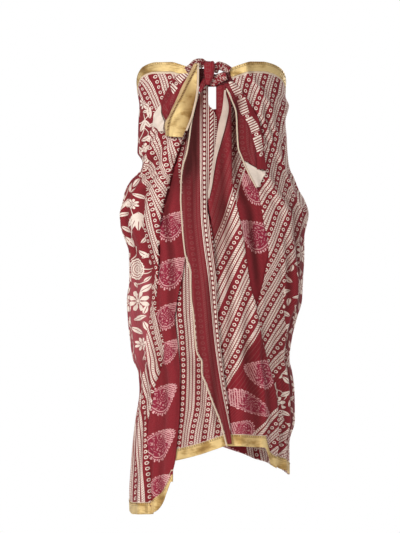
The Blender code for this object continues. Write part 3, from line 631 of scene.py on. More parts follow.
def hem(table: Sequence[tuple[float, float]]) -> HeightEdge:
    """An end of a front layer, from a table of widths and heights.

    Args:
        table: Where the front view shows the end, as (across, height) points.

    Returns:
        The end as height by angle.
    """
    curve = points_curve(table)

    def at(angle: Array) -> Array:
        """The height at each angle, found in steps, because nearer points show larger.

        Args:
            angle: The angles.

        Returns:
            The heights.
        """
        height = curve(np.zeros(np.shape(angle)))
        for _ in range(4):
            scale = FORM.nearness(angle, height)
            true_across = FORM.half_axes(angle, height)[0] * np.cos(np.radians(angle))
            height = curve(EYE_ACROSS + (true_across - EYE_ACROSS) / scale)
        return height
    return at


# Colours, as linear values.
RED: Colour = (0.235, 0.0085, 0.0165)
DEEP_RED: Colour = (0.13, 0.0045, 0.0095)
CRIMSON: Colour = (0.28, 0.018, 0.046)
ROSE: Colour = (0.42, 0.09, 0.11)
CREAM: Colour = (0.88, 0.75, 0.64)
IVORY: Colour = (0.70, 0.55, 0.41)
PINK: Colour = (0.78, 0.44, 0.42)
GOLD_LIGHT: Colour = (0.87, 0.63, 0.28)
GOLD_MID: Colour = (0.53, 0.32, 0.10)
GOLD_DARK: Colour = (0.17, 0.075, 0.022)
GOLD_WORN: Colour = (0.50, 0.33, 0.20)
GOLD_SHADE: Colour = (0.34, 0.25, 0.16)
CLOTH_SHADE: Colour = (0.24, 0.08, 0.06)
THREAD: Colour = (0.14, 0.05, 0.02)


class Signal:
    """A number that varies over a surface: the output socket of a node."""

    def __init__(self, paint: "Paint", socket: bpy.types.NodeSocket) -> None:
        """Keeps the socket and the paint whose nodes it belongs to."""
        self.paint = paint
        self.socket = socket

    def _with(self, operation: str, *values: "Signal | float") -> "Signal":
        """A Math node on these values."""
        return self.paint.math(operation, *values)

    def __add__(self, other: "Signal | float") -> "Signal":
        """Adds."""
        return self._with("ADD", self, other)

    def __sub__(self, other: "Signal | float") -> "Signal":
        """Subtracts."""
        return self._with("SUBTRACT", self, other)

    def __rsub__(self, other: float) -> "Signal":
        """Subtracts from a number."""
        return self._with("SUBTRACT", other, self)

    def __mul__(self, other: "Signal | float") -> "Signal":
        """Multiplies."""
        return self._with("MULTIPLY", self, other)

    def __truediv__(self, other: "Signal | float") -> "Signal":
        """Divides."""
        return self._with("DIVIDE", self, other)

    __radd__ = __add__
    __rmul__ = __mul__

    def over(self, limit: "Signal | float") -> "Signal":
        """1 where it is over the limit."""
        return self._with("GREATER_THAN", self, limit)

    def under(self, limit: "Signal | float") -> "Signal":
        """1 where it is under the limit."""
        return self._with("LESS_THAN", self, limit)

    def between(self, low: float, high: float) -> "Signal":
        """1 where it lies within half the span of the middle."""
        return self._with("COMPARE", self, (low + high) / 2.0, (high - low) / 2.0)

    def repeat(self, period: float) -> "Signal":
        """What is left over after whole periods."""
        return self._with("FLOORED_MODULO", self, period)

    def whole(self) -> "Signal":
        """The whole number below it."""
        return self._with("FLOOR", self)

    def size(self) -> "Signal":
        """Its absolute value."""
        return self._with("ABSOLUTE", self)

    def sine(self) -> "Signal":
        """Its sine, in radians."""
        return self._with("SINE", self)

    def most(self, other: "Signal | float") -> "Signal":
        """The larger of the two."""
        return self._with("MAXIMUM", self, other)

    def clamped(self) -> "Signal":
        """Held within 0 and 1."""
        return self._with("MINIMUM", self._with("MAXIMUM", self, 0.0), 1.0)


Value = Signal | float


class Paint:
    """The node tree of one material."""

    def __init__(self, name: str) -> None:
        """Starts a material with a Principled shader.

        Args:
            name: The material's name.
        """
        self.material = bpy.data.materials.new(name)
        self.material.use_nodes = True
        self.tree = self.material.node_tree
        self.shader = self.tree.nodes["Principled BSDF"]

    def node(self, kind: str, settings: dict[str, object] | None = None,
             inputs: dict[object, object] | None = None) -> bpy.types.Node:
        """Adds a node.

        Args:
            kind: The node's type.
            settings: Its own settings, set first.
            inputs: The values or sources of its sockets, by name or number.

        Returns:
            The node.
        """
        made = self.tree.nodes.new(kind)
        for key, value in (settings or {}).items():
            setattr(made, key, value)
        for key, value in (inputs or {}).items():
            self.feed(made.inputs[key], value)
        return made

    def feed(self, socket: bpy.types.NodeSocket, value: object) -> None:
        """Sets a socket, or links it.

        Args:
            socket: The socket that takes the value.
            value: A number, a colour, a signal or another node's socket.
        """
        if isinstance(value, Signal):
            self.tree.links.new(value.socket, socket)
        elif isinstance(value, bpy.types.NodeSocket):
            self.tree.links.new(value, socket)
        elif isinstance(value, tuple) and len(value) == 3 and len(socket.default_value) == 4:
            socket.default_value = (*value, 1.0)
        else:
            socket.default_value = value

    def math(self, operation: str, *values: Value) -> Signal:
        """A Math node's result."""
        made = self.node("ShaderNodeMath", {"operation": operation}, dict(enumerate(values)))
        return Signal(self, made.outputs[0])

    def map(self, name: str) -> tuple[Signal, Signal]:
        """The two numbers of one of the piece's maps.

        Args:
            name: The map's name.

        Returns:
            The numbers, in millimetres.
        """
        made = self.node("ShaderNodeUVMap", {"uv_map": name})
        parts = self.node("ShaderNodeSeparateXYZ", inputs={0: made.outputs[0]})
        return Signal(self, parts.outputs[0]) * THOUSAND, Signal(self, parts.outputs[1]) * THOUSAND

    def vector(self, x: Value, y: Value, z: Value = 0.0) -> bpy.types.NodeSocket:
        """A vector from three numbers."""
        return self.node("ShaderNodeCombineXYZ", inputs={0: x, 1: y, 2: z}).outputs[0]

    def noise(self, x: Value, y: Value, scale: float, detail: float = 2.0) -> Signal:
        """Soft noise from 0 to 1 over two numbers."""
        made = self.node("ShaderNodeTexNoise", {"noise_dimensions": "2D"},
                         {"Vector": self.vector(x, y), "Scale": scale, "Detail": detail})
        return Signal(self, made.outputs["Fac"])

    def blend(self, first: object, second: object, share: Value) -> bpy.types.NodeSocket:
        """A mix of two colours, by the share of the second."""
        made = self.node("ShaderNodeMix", {"data_type": "RGBA"},
                         {"Factor": share, 6: first, 7: second})
        return made.outputs[2]

    def dim(self, colour: object, dark: Colour) -> bpy.types.NodeSocket:
        """Painted shade: a colour multiplied towards a dark one where the piece's form map holds less painted
        light.
        """
        shade = self.blend(dark, (1.0, 1.0, 1.0), self.map("form")[1] / THOUSAND)
        return self.node("ShaderNodeMix", {"data_type": "RGBA", "blend_type": "MULTIPLY"},
                         {"Factor": 1.0, 6: colour, 7: shade}).outputs[2]

    def bump(self, height: Signal, strength: float, distance: float) -> None:
        """Feeds the shader's normal from a height in parts of the distance, in metres."""
        made = self.node("ShaderNodeBump", inputs={"Strength": strength, "Distance": distance,
                                                   "Height": height})
        self.feed(self.shader.inputs["Normal"], made.outputs[0])

    def surface(self, colour: object, roughness: object, metallic: float = 0.0,
                sheen: float = 0.0) -> None:
        """Sets the shader's colour and gloss.

        Args:
            colour: The base colour.
            roughness: The roughness.
            metallic: The metallic share.
            sheen: The weight of the sheen.
        """
        self.feed(self.shader.inputs["Base Color"], colour)
        self.feed(self.shader.inputs["Roughness"], roughness)
        self.shader.inputs["Metallic"].default_value = metallic
        self.shader.inputs["Sheen Weight"].default_value = sheen
        self.shader.inputs["Specular IOR Level"].default_value = 0.25


class Zone(Enum):
    """A part of the print."""

    STRIPES = "ring and rope stripes"
    BEADED = "stripes that start with a row of beads"
    VINE = "flowers and leaves"
    GARLAND = "flowers and leaves placed by hand"
    LATTICE = "plain ground with staggered paisleys"
    PLAIN = "plain ground with paisleys"
    SHEER = "plain ground that shows the stripes behind it"
    BUNDLE = "bead and dash lines"
    LADDER = "cross bars"
    HATCH = "slanted bars"


class Flower(Enum):
    """A figure of the flowered border."""

    STAR = "flower of eight petals"
    LEAF = "veined leaf"
    SEED_HEAD = "round head with rows of lobes"
    TULIP = "closed blossom"
    STEM = "curved stem"


@dataclass(frozen=True)
class Motif:
    """A figure of the border: its middle as the front view shows it, its half length and its lean."""

    kind: Flower
    across: float
    height: float
    size: float
    lean: float = 0.0


@dataclass(frozen=True)
class Paisley:
    """A leaf-shaped figure: its middle as the front view shows it, its size and its lean."""

    across: float
    height: float
    length: float
    width: float
    lean: float
    bend: float = -0.12
    taper: float = 0.5


class Spot(NamedTuple):
    """Where a point lies: across and along the stripes, round the form and up it."""

    across: Signal
    along: Signal
    u: Signal
    v: Signal


def joined(marks: Sequence[Signal]) -> Signal:
    """All the marks in one."""
    return reduce(Signal.most, marks)


@dataclass(frozen=True)
class VoilePrint:
    """Thin madder red cotton with a cream print."""

    name: str
    zones: tuple[Zone, ...]
    paisleys: tuple[Paisley, ...] = ()
    motifs: tuple[Motif, ...] = ()
    trimmed_top: bool = False
    trimmed_hem: bool = False
    # bright: how much of the red ground's colour shows; below 1 it is painted shade for pieces that lie in
    # shadow.
    bright: float = 1.0
    period: float = 31.0
    ring_pitch: float = 12.2
    ring_middle: float = 6.0
    ring_hole: float = 2.0
    ring_size: float = 3.65
    ropes: tuple[float, ...] = (14.9, 21.2, 27.5)
    rope_half: float = 2.1
    strand_half: float = 1.6
    tick_pitch: float = 4.8
    tick_width: float = 1.45
    bead_pitch: float = 9.0
    vine_wide: float = 58.0
    vine_tall: float = 74.0
    vine_drift: float = 14.0
    vine_star: float = 19.0
    lattice_wide: float = 78.0
    lattice_tall: float = 104.0
    ladder_pitch: float = 44.0
    ladder_low: float = -148.0
    weave_pitch: float = 1.3

    def stripes(self, paint: Paint, at: Spot, beads: bool = False) -> Signal:
        """The cream share of the ring and rope stripes.

        Args:
            paint: The material's nodes.
            at: Where each point lies.
            beads: Whether the first stripe has beads in place of rings.

        Returns:
            1 where the print is cream.
        """
        p = at.across.repeat(self.period)
        q = at.along.repeat(self.ring_pitch) - self.ring_pitch / 2.0
        beside = (p - self.ring_middle) / (paint.map("form")[0] / THOUSAND)
        radius = paint.math("SQRT", beside * beside + q * q)
        marks = radius.between(self.ring_hole, self.ring_size)
        if beads:
            bead = at.along.repeat(self.bead_pitch) - self.bead_pitch / 2.0
            dash = beside.size().under(1.9) * bead.size().under(3.3)
            dash = dash.most((beside.size() - 4.2).size().under(0.6))
            first = at.across.under(self.period * 0.75)
            marks = marks * (1.0 - first) + dash * first
        for k, middle in enumerate(self.ropes):
            lean = 1.0 if k % 2 == 0 else -1.0
            tick = (at.along + p * lean).repeat(self.tick_pitch).under(self.tick_width)
            core = (p - middle).size()
            marks = marks.most(core.under(self.rope_half) * (1.0 - tick * core.under(self.strand_half)))
        return marks

    def bundle(self, at: Spot) -> Signal:
        """The cream share of the bead and dash lines along the flap's margin.

        Args:
            at: Where each point lies.

        Returns:
            1 where the print is cream.
        """
        across, along = at.across, at.along
        marks = joined([across.between(low, high) for low, high in (
            (70.0, 71.6), (73.0, 74.0), (81.6, 82.8), (84.4, 86.0), (97.0, 98.4))])
        q = along.repeat(10.5) - 5.2
        bead = (across - 78.0) / 2.1
        marks = marks.most((bead * bead + q * q / 14.0).under(1.0))
        slanted = (along + across * 1.2).repeat(9.0).under(4.0)
        marks = marks.most(across.between(88.4, 95.6) * slanted)
        dots = along.repeat(5.0).under(2.4)
        return marks.most(across.between(99.5, 102.5) * dots)

    def vine(self, paint: Paint, at: Spot) -> Signal:
        """The cream share of the flowers, leaves and stems of the border.

        Args:
            paint: The material's nodes.
            at: Where each point lies.

        Returns:
            1 where the print is cream.
        """
        wide, tall = self.vine_wide, self.vine_tall
        drift_u = (paint.noise(at.u, at.v, 0.02) - 0.5) * self.vine_drift
        drift_v = (paint.noise(at.u + 310.0, at.v, 0.02) - 0.5) * self.vine_drift
        u, v = at.u + drift_u, at.v + drift_v
        column = (u / wide).whole()
        x = u.repeat(wide) - wide / 2.0
        y = (v + column.repeat(2.0) * (tall / 2.0)).repeat(tall) - tall / 2.0
        marks = self.star(paint, x, y, self.vine_star)
        stem = (x - (y * (FULL_TURN / tall)).sine() * self.vine_star).size().under(0.8)
        marks = marks.most(stem * (x * x + y * y).over(380.0))
        for at_x, at_y, lean, long, thin in (
                (17.0, 25.0, 0.5, 11.0, 4.8), (-18.0, 23.0, -0.8, 11.0, 4.6),
                (-19.0, -23.0, 0.4, 11.0, 4.6), (18.0, -21.0, -0.7, 11.0, 4.8),
                (1.0, 31.0, 1.5, 8.0, 3.4), (25.0, 2.0, 1.4, 9.0, 3.4)):
            marks = marks.most(self.leaf(x - at_x, y - at_y, lean, long, thin))
        return marks

    def star(self, paint: Paint, x: Signal, y: Signal, size: float) -> Signal:
        """A flower of eight pointed petals round a small eye.

        Args:
            paint: The material's nodes.
            x: How far to the right of its middle each point lies.
            y: How far above its middle it lies.
            size: The length of a petal.

        Returns:
            1 where the print is cream.
        """
        radius = paint.math("SQRT", x * x + y * y)
        petal = (paint.math("ARCTAN2", y, x) * 4.0).sine().size()
        reach = radius / size
        petals = (petal - (reach - 0.62).size() * 1.9).over(0.24) * reach.under(1.0)
        return petals.most(radius.under(size * 0.17)).most(radius.between(size * 0.24, size * 0.3))

    def leaf(self, x: Signal, y: Signal, lean: float, long: float, thin: float) -> Signal:
        """A leaf with a vein.

        Args:
            x: How far to the right of its middle each point lies.
            y: How far above its middle it lies.
            lean: How far it is turned, in radians.
            long: Half its length.
            thin: Half its width.

        Returns:
            1 where the print is cream.
        """
        along = x * math.cos(lean) + y * math.sin(lean)
        beside = (y * math.cos(lean) - x * math.sin(lean)).size()
        pinch = 1.0 - along * along * (1.0 / (long * long))
        return beside.under(pinch * thin) * beside.over(0.55)

    def middle(self, one: Motif | Paisley, lift: float = 0.0) -> float:
        """How far round the form a figure's middle lies, on cloth that lies this far out."""
        height = np.array(float(one.height))
        return float(FORM.spread(FORM.angle_of(np.array(float(one.across)), height, lift), height))

    def figure(self, paint: Paint, x: Signal, y: Signal, one: Motif) -> Signal:
        """One listed figure of the border.

        Args:
            paint: The material's nodes.
            x: How far to the right of its middle each point lies.
            y: How far above its middle it lies.
            one: The figure.

        Returns:
            1 where the print is cream.
        """
        size, lean = one.size, math.radians(one.lean)
        if one.kind is Flower.STAR:
            return self.star(paint, x, y, size)
        if one.kind is Flower.LEAF:
            return self.leaf(x, y, lean, size, size * 0.36)
        if one.kind is Flower.SEED_HEAD:
            radius = paint.math("SQRT", x * x * 1.7 + y * y)
            lobes = (paint.math("ARCTAN2", y, x) * 9.0).sine().size() * 1.6
            rows = (radius + lobes).repeat(5.2).under(3.5)
            return ((radius + lobes).under(size) * rows).most(radius.under(2.4))
        if one.kind is Flower.TULIP:
            turns = [math.radians(turn) for turn in (-126.0, -107.0, -89.0, -72.0, -52.0)]
            return joined([self.leaf(x - math.cos(turn) * size * 0.68,
                                     y - math.sin(turn) * size * 0.68 - size * 0.75,
                                     turn, size * 0.80, size * 0.20) for turn in turns])
        along = x * math.cos(lean) + y * math.sin(lean)
        beside = y * math.cos(lean) - x * math.sin(lean)
        curve = beside - along * along * (0.35 / size)
        return curve.size().under(0.9) * along.size().under(size)

    def garland(self, paint: Paint, at: Spot) -> Signal:
        """The listed figures of the border at the viewer's left, and the vine on its far side.

        Args:
            paint: The material's nodes.
            at: Where each point lies.

        Returns:
            1 where the print is cream.
        """
        side = float(FORM.spread(np.array(170.0), np.array(-400.0)))
        figures = joined([self.figure(paint, at.u - self.middle(one, BORDER_OUT), at.v - one.height, one)
                          for one in self.motifs])
        return figures.most(self.vine(paint, at) * at.u.under(side))

    def paisley(self, paint: Paint, dx: Signal, dy: Signal, one: Paisley) -> tuple[Signal, Signal]:
        """One paisley.

        Args:
            paint: The material's nodes.
            dx: How far to the right of its middle each point lies.
            dy: How far above its middle it lies.
            one: The paisley.

        Returns:
            The shares of its lines and of its filled body.
        """
        c, s = math.cos(math.radians(one.lean)), math.sin(math.radians(one.lean))
        along, beside = dx * c + dy * s, dy * c - dx * s
        x = along * (2.0 / one.length)
        beside = beside - (x + 0.35) * (x + 0.35) * (one.bend * one.width * 0.5)
        taper = (1.02 - x * one.taper).most(0.10)
        y = beside / (taper * (one.width / 2.0))
        turn = paint.math("ARCTAN2", y, x)
        radius = paint.math("SQRT", x * x + y * y)
        lobes = (turn * 11.0).sine().size()
        body = radius.under(lobes * 0.10 + 0.90)
        lace = radius.over(0.86) * (turn * 41.0).sine().over(-0.25) * body
        row = (radius + paint.noise(along, beside, 0.10) * 0.42) * 6.4
        chain = row.repeat(1.0).under(0.36) * (turn * 13.0 + row.whole() * 1.7).sine().over(-0.25)
        lines = (lace * 0.95).most(radius.between(0.755, 0.80) * 0.85)
        lines = lines.most(chain * radius.under(0.74) * 0.62)
        cap = x.over(0.30) * body
        hatch = (along + beside * 0.6).repeat(5.4).under(2.3)
        return lines.most(hatch * cap * 0.85), body

    def lattice(self, paint: Paint, at: Spot) -> tuple[Signal, Signal]:
        """Paisleys in columns, every other one half a step lower.

        Args:
            paint: The material's nodes.
            at: Where each point lies.

        Returns:
            The shares of their lines and of their filled bodies.
        """
        wide, tall = self.lattice_wide, self.lattice_tall
        column = (at.u / wide).whole()
        x = at.u.repeat(wide) - wide / 2.0
        y = (at.v + column.repeat(2.0) * (tall / 2.0)).repeat(tall) - tall / 2.0
        return self.paisley(paint, x, y, Paisley(0, 0, 86, 50, 52))

    def ladder(self, paint: Paint, at: Spot) -> Signal:
        """The cream share of the cross bars and rings of a tail.

        Args:
            paint: The material's nodes.
            at: Where each point lies.

        Returns:
            1 where the print is cream.
        """
        place = at.along.repeat(self.ladder_pitch)
        bars = place.repeat(5.4).under(3.1) * place.over(11.0)
        bars = bars.most(place.under(11.0) * place.over(9.8))
        bars = bars * at.across.between(1.4, 17.5) * at.v.over(self.ladder_low)
        side, middle = at.across - 9.0, place - 5.0
        ring = paint.math("SQRT", side * side + middle * middle)
        return bars.most(ring.between(1.7, 3.6))

    def marks(self, paint: Paint, zone: Zone, at: Spot) -> tuple[Value, Value]:
        """The print of one zone.

        Args:
            paint: The material's nodes.
            zone: The zone.
            at: Where each point lies.

        Returns:
            The shares of cream lines and of crimson bodies.
        """
        if zone is Zone.LATTICE:
            return self.lattice(paint, at)
        if zone is Zone.PLAIN:
            pairs = [self.paisley(paint, at.u - self.middle(one), at.v - one.height, one)
                     for one in self.paisleys]
            return joined([pair[0] for pair in pairs]), joined([pair[1] for pair in pairs])
        if zone is Zone.BUNDLE:
            return self.bundle(at), 0.0
        if zone is Zone.VINE:
            return self.vine(paint, at), 0.0
        if zone is Zone.GARLAND:
            return self.garland(paint, at), 0.0
        if zone is Zone.LADDER:
            return self.ladder(paint, at), 0.0
        if zone is Zone.SHEER:
            return self.stripes(paint, at._replace(across=at.across * 0.8)) * 0.035, 0.0
        if zone is Zone.HATCH:
            first = (at.along + at.across).repeat(4.4).under(1.9)
            second = (at.along - at.across).repeat(9.0).under(1.4)
            patch = paint.noise(at.across, at.along, 0.16).over(0.47)
            return first.most(second) * patch * 0.62, 0.0
        return self.stripes(paint, at, zone is Zone.BEADED), 0.0

    def make(self) -> bpy.types.Material:
        """The finished material.

        Returns:
            The material.
        """
        paint = Paint(self.name)
        at = Spot(*paint.map("print"), *paint.map("ground"))
        across, along, u, v = at
        below, above = paint.map("rim")
        fine = paint.noise(across * 0.12, along, 0.9, 3.0)
        masks = {zone: self.marks(paint, zone, at) for zone in dict.fromkeys(self.zones)}
        cream, crimson = masks[self.zones[0]]
        for k, zone in enumerate(self.zones[1:]):
            if k % 2 == 0:
                pair = paint.map(f"zone{k // 2}")
            past = pair[k % 2].over(0.0)
            cream = self.choose(cream, masks[zone][0], past)
            crimson = self.choose(crimson, masks[zone][1], past)
        # The red ground is multiplied by bright, as painted shade.
        ground = paint.blend(tuple(c * self.bright for c in DEEP_RED),
                             tuple(c * self.bright for c in RED), (fine * 1.3 + 0.2).clamped())
        if Zone.GARLAND in self.zones:
            # The red ground is painted pinker in one patch on the viewer's left side.
            rose_patch = ((-132.0 - u) / 14.0).clamped() * ((u + 225.0) / 30.0).clamped()
            rose_patch = rose_patch * ((v + 650.0) / 60.0).clamped() * ((-395.0 - v) / 40.0).clamped()
            ground = paint.blend(ground, ROSE, rose_patch * 0.5)
        threads = (across + along * 0.02).repeat(2.6).under(0.5) * 0.04
        ground = paint.blend(ground, CREAM, threads)
        colour = paint.blend(ground, CRIMSON, crimson * 0.85)
        ink = paint.blend(CREAM, PINK, crimson)
        colour = paint.blend(colour, ink, (cream * (fine * 0.35 + 0.76)).clamped())
        if self.trimmed_top:
            colour = paint.blend(colour, IVORY, below.between(TOP_BAND - 1.0, TOP_BAND + 4.6) * 0.93)
        if self.trimmed_hem:
            colour = paint.blend(colour, IVORY, above.between(HEM_BAND - 1.0, HEM_BAND + 1.8) * 0.9)
        # The print colour is painted darker towards CLOTH_SHADE where the form map holds painted shade.
        paint.surface(paint.dim(colour, CLOTH_SHADE), 0.82, sheen=0.04)
        thread = FULL_TURN / self.weave_pitch
        weave = ((across * thread).sine() + (along * thread).sine()) * 0.2
        paint.bump(weave * 0.25 + paint.noise(u, v, 0.06, 3.0) * 3.0, 0.5, 0.0012)
        return paint.material

    @staticmethod
    def choose(first: Value, second: Value, past: Signal) -> Value:
        """One value up to a line of the print and another past it, where a plain number is none.

        Args:
            first: The value before the line.
            second: The value past it.
            past: 1 past the line.

        Returns:
            The value that holds.
        """
        if isinstance(second, float):
            return first if isinstance(first, float) else first * (1.0 - past)
        if isinstance(first, float):
            return past * second
        return first * (1.0 - past) + past * second


@dataclass(frozen=True)
class GoldBrocade:
    """Woven gold ribbon: ribs across it, a stitched fold line in painted shade and patches of painted light
    and shade.
    """

    name: str
    fold_line: float
    # dark: how low the noise must fall for the gold to be painted into fold shade.
    dark: float = 0.5
    # Where the stitched row lies across the ribbon: the dark band there is its stitching and painted shade
    # beside it.
    shaded_seam: float = -9.0
    rib_across: float = 1.6
    rib_down: float = 2.1

    def make(self) -> bpy.types.Material:
        """The finished material.

        Returns:
            The material.
        """
        paint = Paint(self.name)
        u, v = paint.map("ground")
        below, _ = paint.map("rim")
        patches = paint.noise(u, v * 1.6, 0.030, 3.0)
        streaks = paint.noise(u * 0.25, v, 0.5, 2.0)
        # Lighter and darker gold in noise patches and streaks: painted glints and painted fold shade of the
        # crumpled ribbon, over the streaks of its weave.
        light = ((patches - self.dark) * 5.0 + 0.4 + (streaks - 0.5) * 1.2).clamped()
        colour = paint.blend(GOLD_MID, GOLD_LIGHT, light)
        # The darkest patches get GOLD_DARK, as painted shade in its folds.
        colour = paint.blend(colour, GOLD_DARK, ((self.dark - 0.08 - patches) * 5.0).clamped() * 0.7)
        # A dark line along the fold line: painted shade in the crease.
        crease = below.between(self.fold_line - 0.6, self.fold_line + 0.6)
        colour = paint.blend(colour, GOLD_DARK, crease * 0.55)
        across, _ = paint.map("print")
        # A darker band along the stitched row: its dark stitching, and painted shade beside it.
        beside = (across - self.shaded_seam).size()
        colour = paint.blend(colour, GOLD_DARK, ((4.2 - beside) * 0.4).clamped() * 0.62)
        colour = paint.blend(colour, GOLD_WORN, (across + 3.5).under(self.shaded_seam) * 0.7)
        # The gold is painted darker towards GOLD_SHADE where the form map holds painted shade.
        paint.surface(paint.dim(colour, GOLD_SHADE), 0.42, metallic=0.55, sheen=0.05)
        ribs = ((u * (FULL_TURN / self.rib_across)).sine() * 0.25
                + (v * (FULL_TURN / self.rib_down)).sine() * 0.2)
        paint.bump(ribs + patches * 2.5 + streaks * 0.8, 0.6, 0.0012)
        return paint.material


@dataclass(frozen=True)
class CreamCotton:
    """Plain cream edging."""

    name: str
    shade: Colour = IVORY
    rib_across: float = 1.1
    rib_down: float = 2.2

    def make(self) -> bpy.types.Material:
        """The finished material.

        Returns:
            The material.
        """
        paint = Paint(self.name)
        u, v = paint.map("ground")
        soft = paint.noise(u, v, 0.05, 2.0)
        colour = paint.blend(tuple(c * 0.78 for c in self.shade), self.shade, (soft * 1.6).clamped())
        paint.surface(colour, 0.85, sheen=0.1)
        ribs = ((v * (FULL_TURN / self.rib_down)).sine() * 0.3
                + (u * (FULL_TURN / self.rib_across)).sine() * 0.15)
        paint.bump(ribs + soft, 0.5, 0.0008)
        return paint.material


class Cut(NamedTuple):
    """The flat size of a sheet, its flat area and how it is held."""

    width: float
    length: float
    area: float
    held: str


class Maps(NamedTuple):
    """The numbers that a piece's material reads at each point, in millimetres."""

    print: tuple[Array, Array]
    ground: tuple[Array, Array]
    rim: tuple[Array, Array]
    # form: the crowding of the stripes, and the painted light and shade of the cloth.
    form: tuple[Array, Array]
    zones: list[Array]


@dataclass
class Stretch:
    """A stretch of cloth between two side edges and two ends, as one closed thin shell."""

    name: str
    left: AngleEdge
    right: AngleEdge
    top: HeightEdge
    bottom: HeightEdge
    lifts: Sequence[Lift]
    columns: int
    rows: int
    inner: float = CLOTH_IN
    outer: float = CLOTH_OUT
    roll_left: float = 0.0
    roll_right: float = 0.0
    roll_width: float = 7.0
    guides: tuple[Guide, ...] = ()
    lean: float = 0.0
    lines: tuple[AngleEdge, ...] = ()
    whole_round: bool = False

    def grid(self) -> tuple[Array, Array, Array]:
        """The points of the stretch, rows from the top and columns to the viewer's right.

        Returns:
            The angle, height and share across of each point.
        """
        even = np.linspace(0.0, 1.0, self.columns + 1)
        share = (0.6 * even + 0.4 * (0.5 - 0.5 * np.cos(np.pi * even)))[None, :]
        down = np.linspace(0.0, 1.0, self.rows + 1)[:, None]
        start, end = self.top(np.array(90.0)), self.bottom(np.array(90.0))
        height = (start + (end - start) * down) + 0.0 * share
        angle = height
        for _ in range(8):
            first, last = self.left(height), self.right(height)
            angle = first + (last - first) * share
            upper = self.top(angle)
            height = upper + (self.bottom(angle) - upper) * down
        return angle, height, share + 0.0 * down

    def lift(self, angle: Array, height: Array, share: Array) -> Array:
        """How far out the cloth lies, with its side edges rolled inwards."""
        flat = wound_lift(angle, height) if self.whole_round else lift_between(self.lifts, height, share)
        return flat - self.roll(angle, height)

    def roll(self, angle: Array, height: Array) -> Array:
        """How far the side edges roll inwards.

        Args:
            angle: The angle of each point.
            height: Its height.

        Returns:
            The depth in millimetres, none away from the edges.
        """
        total = np.zeros(angle.shape)
        for amount, side in ((self.roll_left, self.left(height)), (self.roll_right, self.right(height))):
            apart = np.abs(np.radians(angle - side)) * FOLD_RADIUS
            total = total + amount * np.clip(1.0 - apart / self.roll_width, 0.0, 1.0) ** 2
        return total

    def maps(self, angle: Array, height: Array) -> Maps:
        """What the material reads at each point.

        Args:
            angle: The angle of each point.
            height: Its height.

        Returns:
            The maps.
        """
        ground = FORM.along(angle, height)
        rim = (self.top(angle) - height, height - self.bottom(angle))
        lean = math.radians(self.lean)
        if self.guides:
            across = place_across(self.guides, ground, height, math.cos(lean))
        else:
            across = np.abs(ground - ground[:, :1]) * math.cos(lean)
        along = ground * math.sin(lean) - height * math.cos(lean)
        zones = [ground - FORM.along(line(height), height) for line in self.lines]
        # The form map carries the crowding of the stripes and the painted light and shade.
        form = (crowding(across, ground, height), FORM.shading(angle, height))
        return Maps((across, along), (FORM.spread(angle, height), height), rim, form, zones)

    def build(self, material: bpy.types.Material) -> bpy.types.Object:
        """The finished piece.

        Args:
            material: Its finish.

        Returns:
            The object, on the part's body.
        """
        angle, height, share = self.grid()
        lift = self.lift(angle, height, share)
        outside = FORM.place(angle, height, lift + self.outer)
        inside = FORM.place(angle, height, lift + self.inner)
        return shell(self.name, outside, inside, self.maps(angle, height), material)


def crowding(across: Array, ground: Array, height: Array) -> Array:
    """How much closer together than on flat cloth the stripes run, in thousandths.

    Args:
        across: The place across the stripes at each point of a grid.
        ground: How far round each point lies.
        height: The height of each point.

    Returns:
        1000 where the stripes are as far apart as on flat cloth, and more where they are closer.
    """
    across_i, across_j = np.gradient(across)
    ground_i, ground_j = np.gradient(ground)
    height_i, height_j = np.gradient(height)
    size = ground_j * height_i - height_j * ground_i
    size = np.where(np.abs(size) < 1e-6, 1e-6, size)
    sideways = (across_j * height_i - height_j * across_i) / size
    upwards = (ground_j * across_i - across_j * ground_i) / size
    return np.clip(np.hypot(sideways, upwards), 0.75, 1.6) * THOUSAND


def lift_between(lifts: Sequence[Lift], height: Array, share: Array) -> Array:
    """How far out a stretch lies at each height and share across, from its table of lifts."""
    left, middle, right = (Curve([row.height for row in lifts],
                                 [getattr(row, side) for row in lifts])(height)
                           for side in ("left", "middle", "right"))
    return np.where(share < 0.5, left + (middle - left) * smooth(share * 2.0),
                    middle + (right - middle) * smooth(share * 2.0 - 1.0))


def wound_lift(angle: Array, height: Array) -> Array:
    """How far out the wound cloth lies, from its left edge round the back to the left fold.

    Args:
        angle: The angle of each point, less than 90 all the way round.
        height: Its height.

    Returns:
        The lift in millimetres.
    """
    right_edge = FORM.angle_of(points_curve(RIGHT_WRAP_LEFT)(height), height, FRONT_OUT)
    left_edge = FORM.angle_of(points_curve(LEFT_FOLD)(height), height, FRONT_OUT) - 360.0
    total = np.zeros(angle.shape)
    for lifts, first, last in ((RIGHT_WRAP_LIFT, right_edge, BACK_SEAM_RIGHT),
                               (LEFT_WRAP_LIFT, BACK_SEAM_LEFT - 360.0, left_edge)):
        share = (angle - first) / (last - first)
        lift = lift_between(lifts, height, share)
        total = np.where((share >= 0.0) & (share <= 1.0), lift, total)
    return total


def place_across(guides: Sequence[Guide], ground: Array, height: Array, scale: float) -> Array:
    """The place across the stripes of each point, between the lines of the print.

    Args:
        guides: The lines, from left to right.
        ground: How far round each point lies.
        height: The height of each point.
        scale: Millimetres across the stripes for each one round, outside the lines.

    Returns:
        The place across in millimetres.
    """
    where = [FORM.along(FORM.angle_of(points_curve(guide.points, True)(height), height), height)
             for guide in guides]
    place = guides[0].place + (ground - where[0]) * scale
    for near, far, first, second in zip(where, where[1:], guides, guides[1:]):
        span = np.maximum(far - near, 1.0)
        share = np.clip((ground - near) / span, 0.0, 1.0)
        place = np.where(ground > near, first.place + share * (second.place - first.place), place)
    past = guides[-1].place + (ground - where[-1]) * scale
    return np.where(ground > where[-1], past, place)


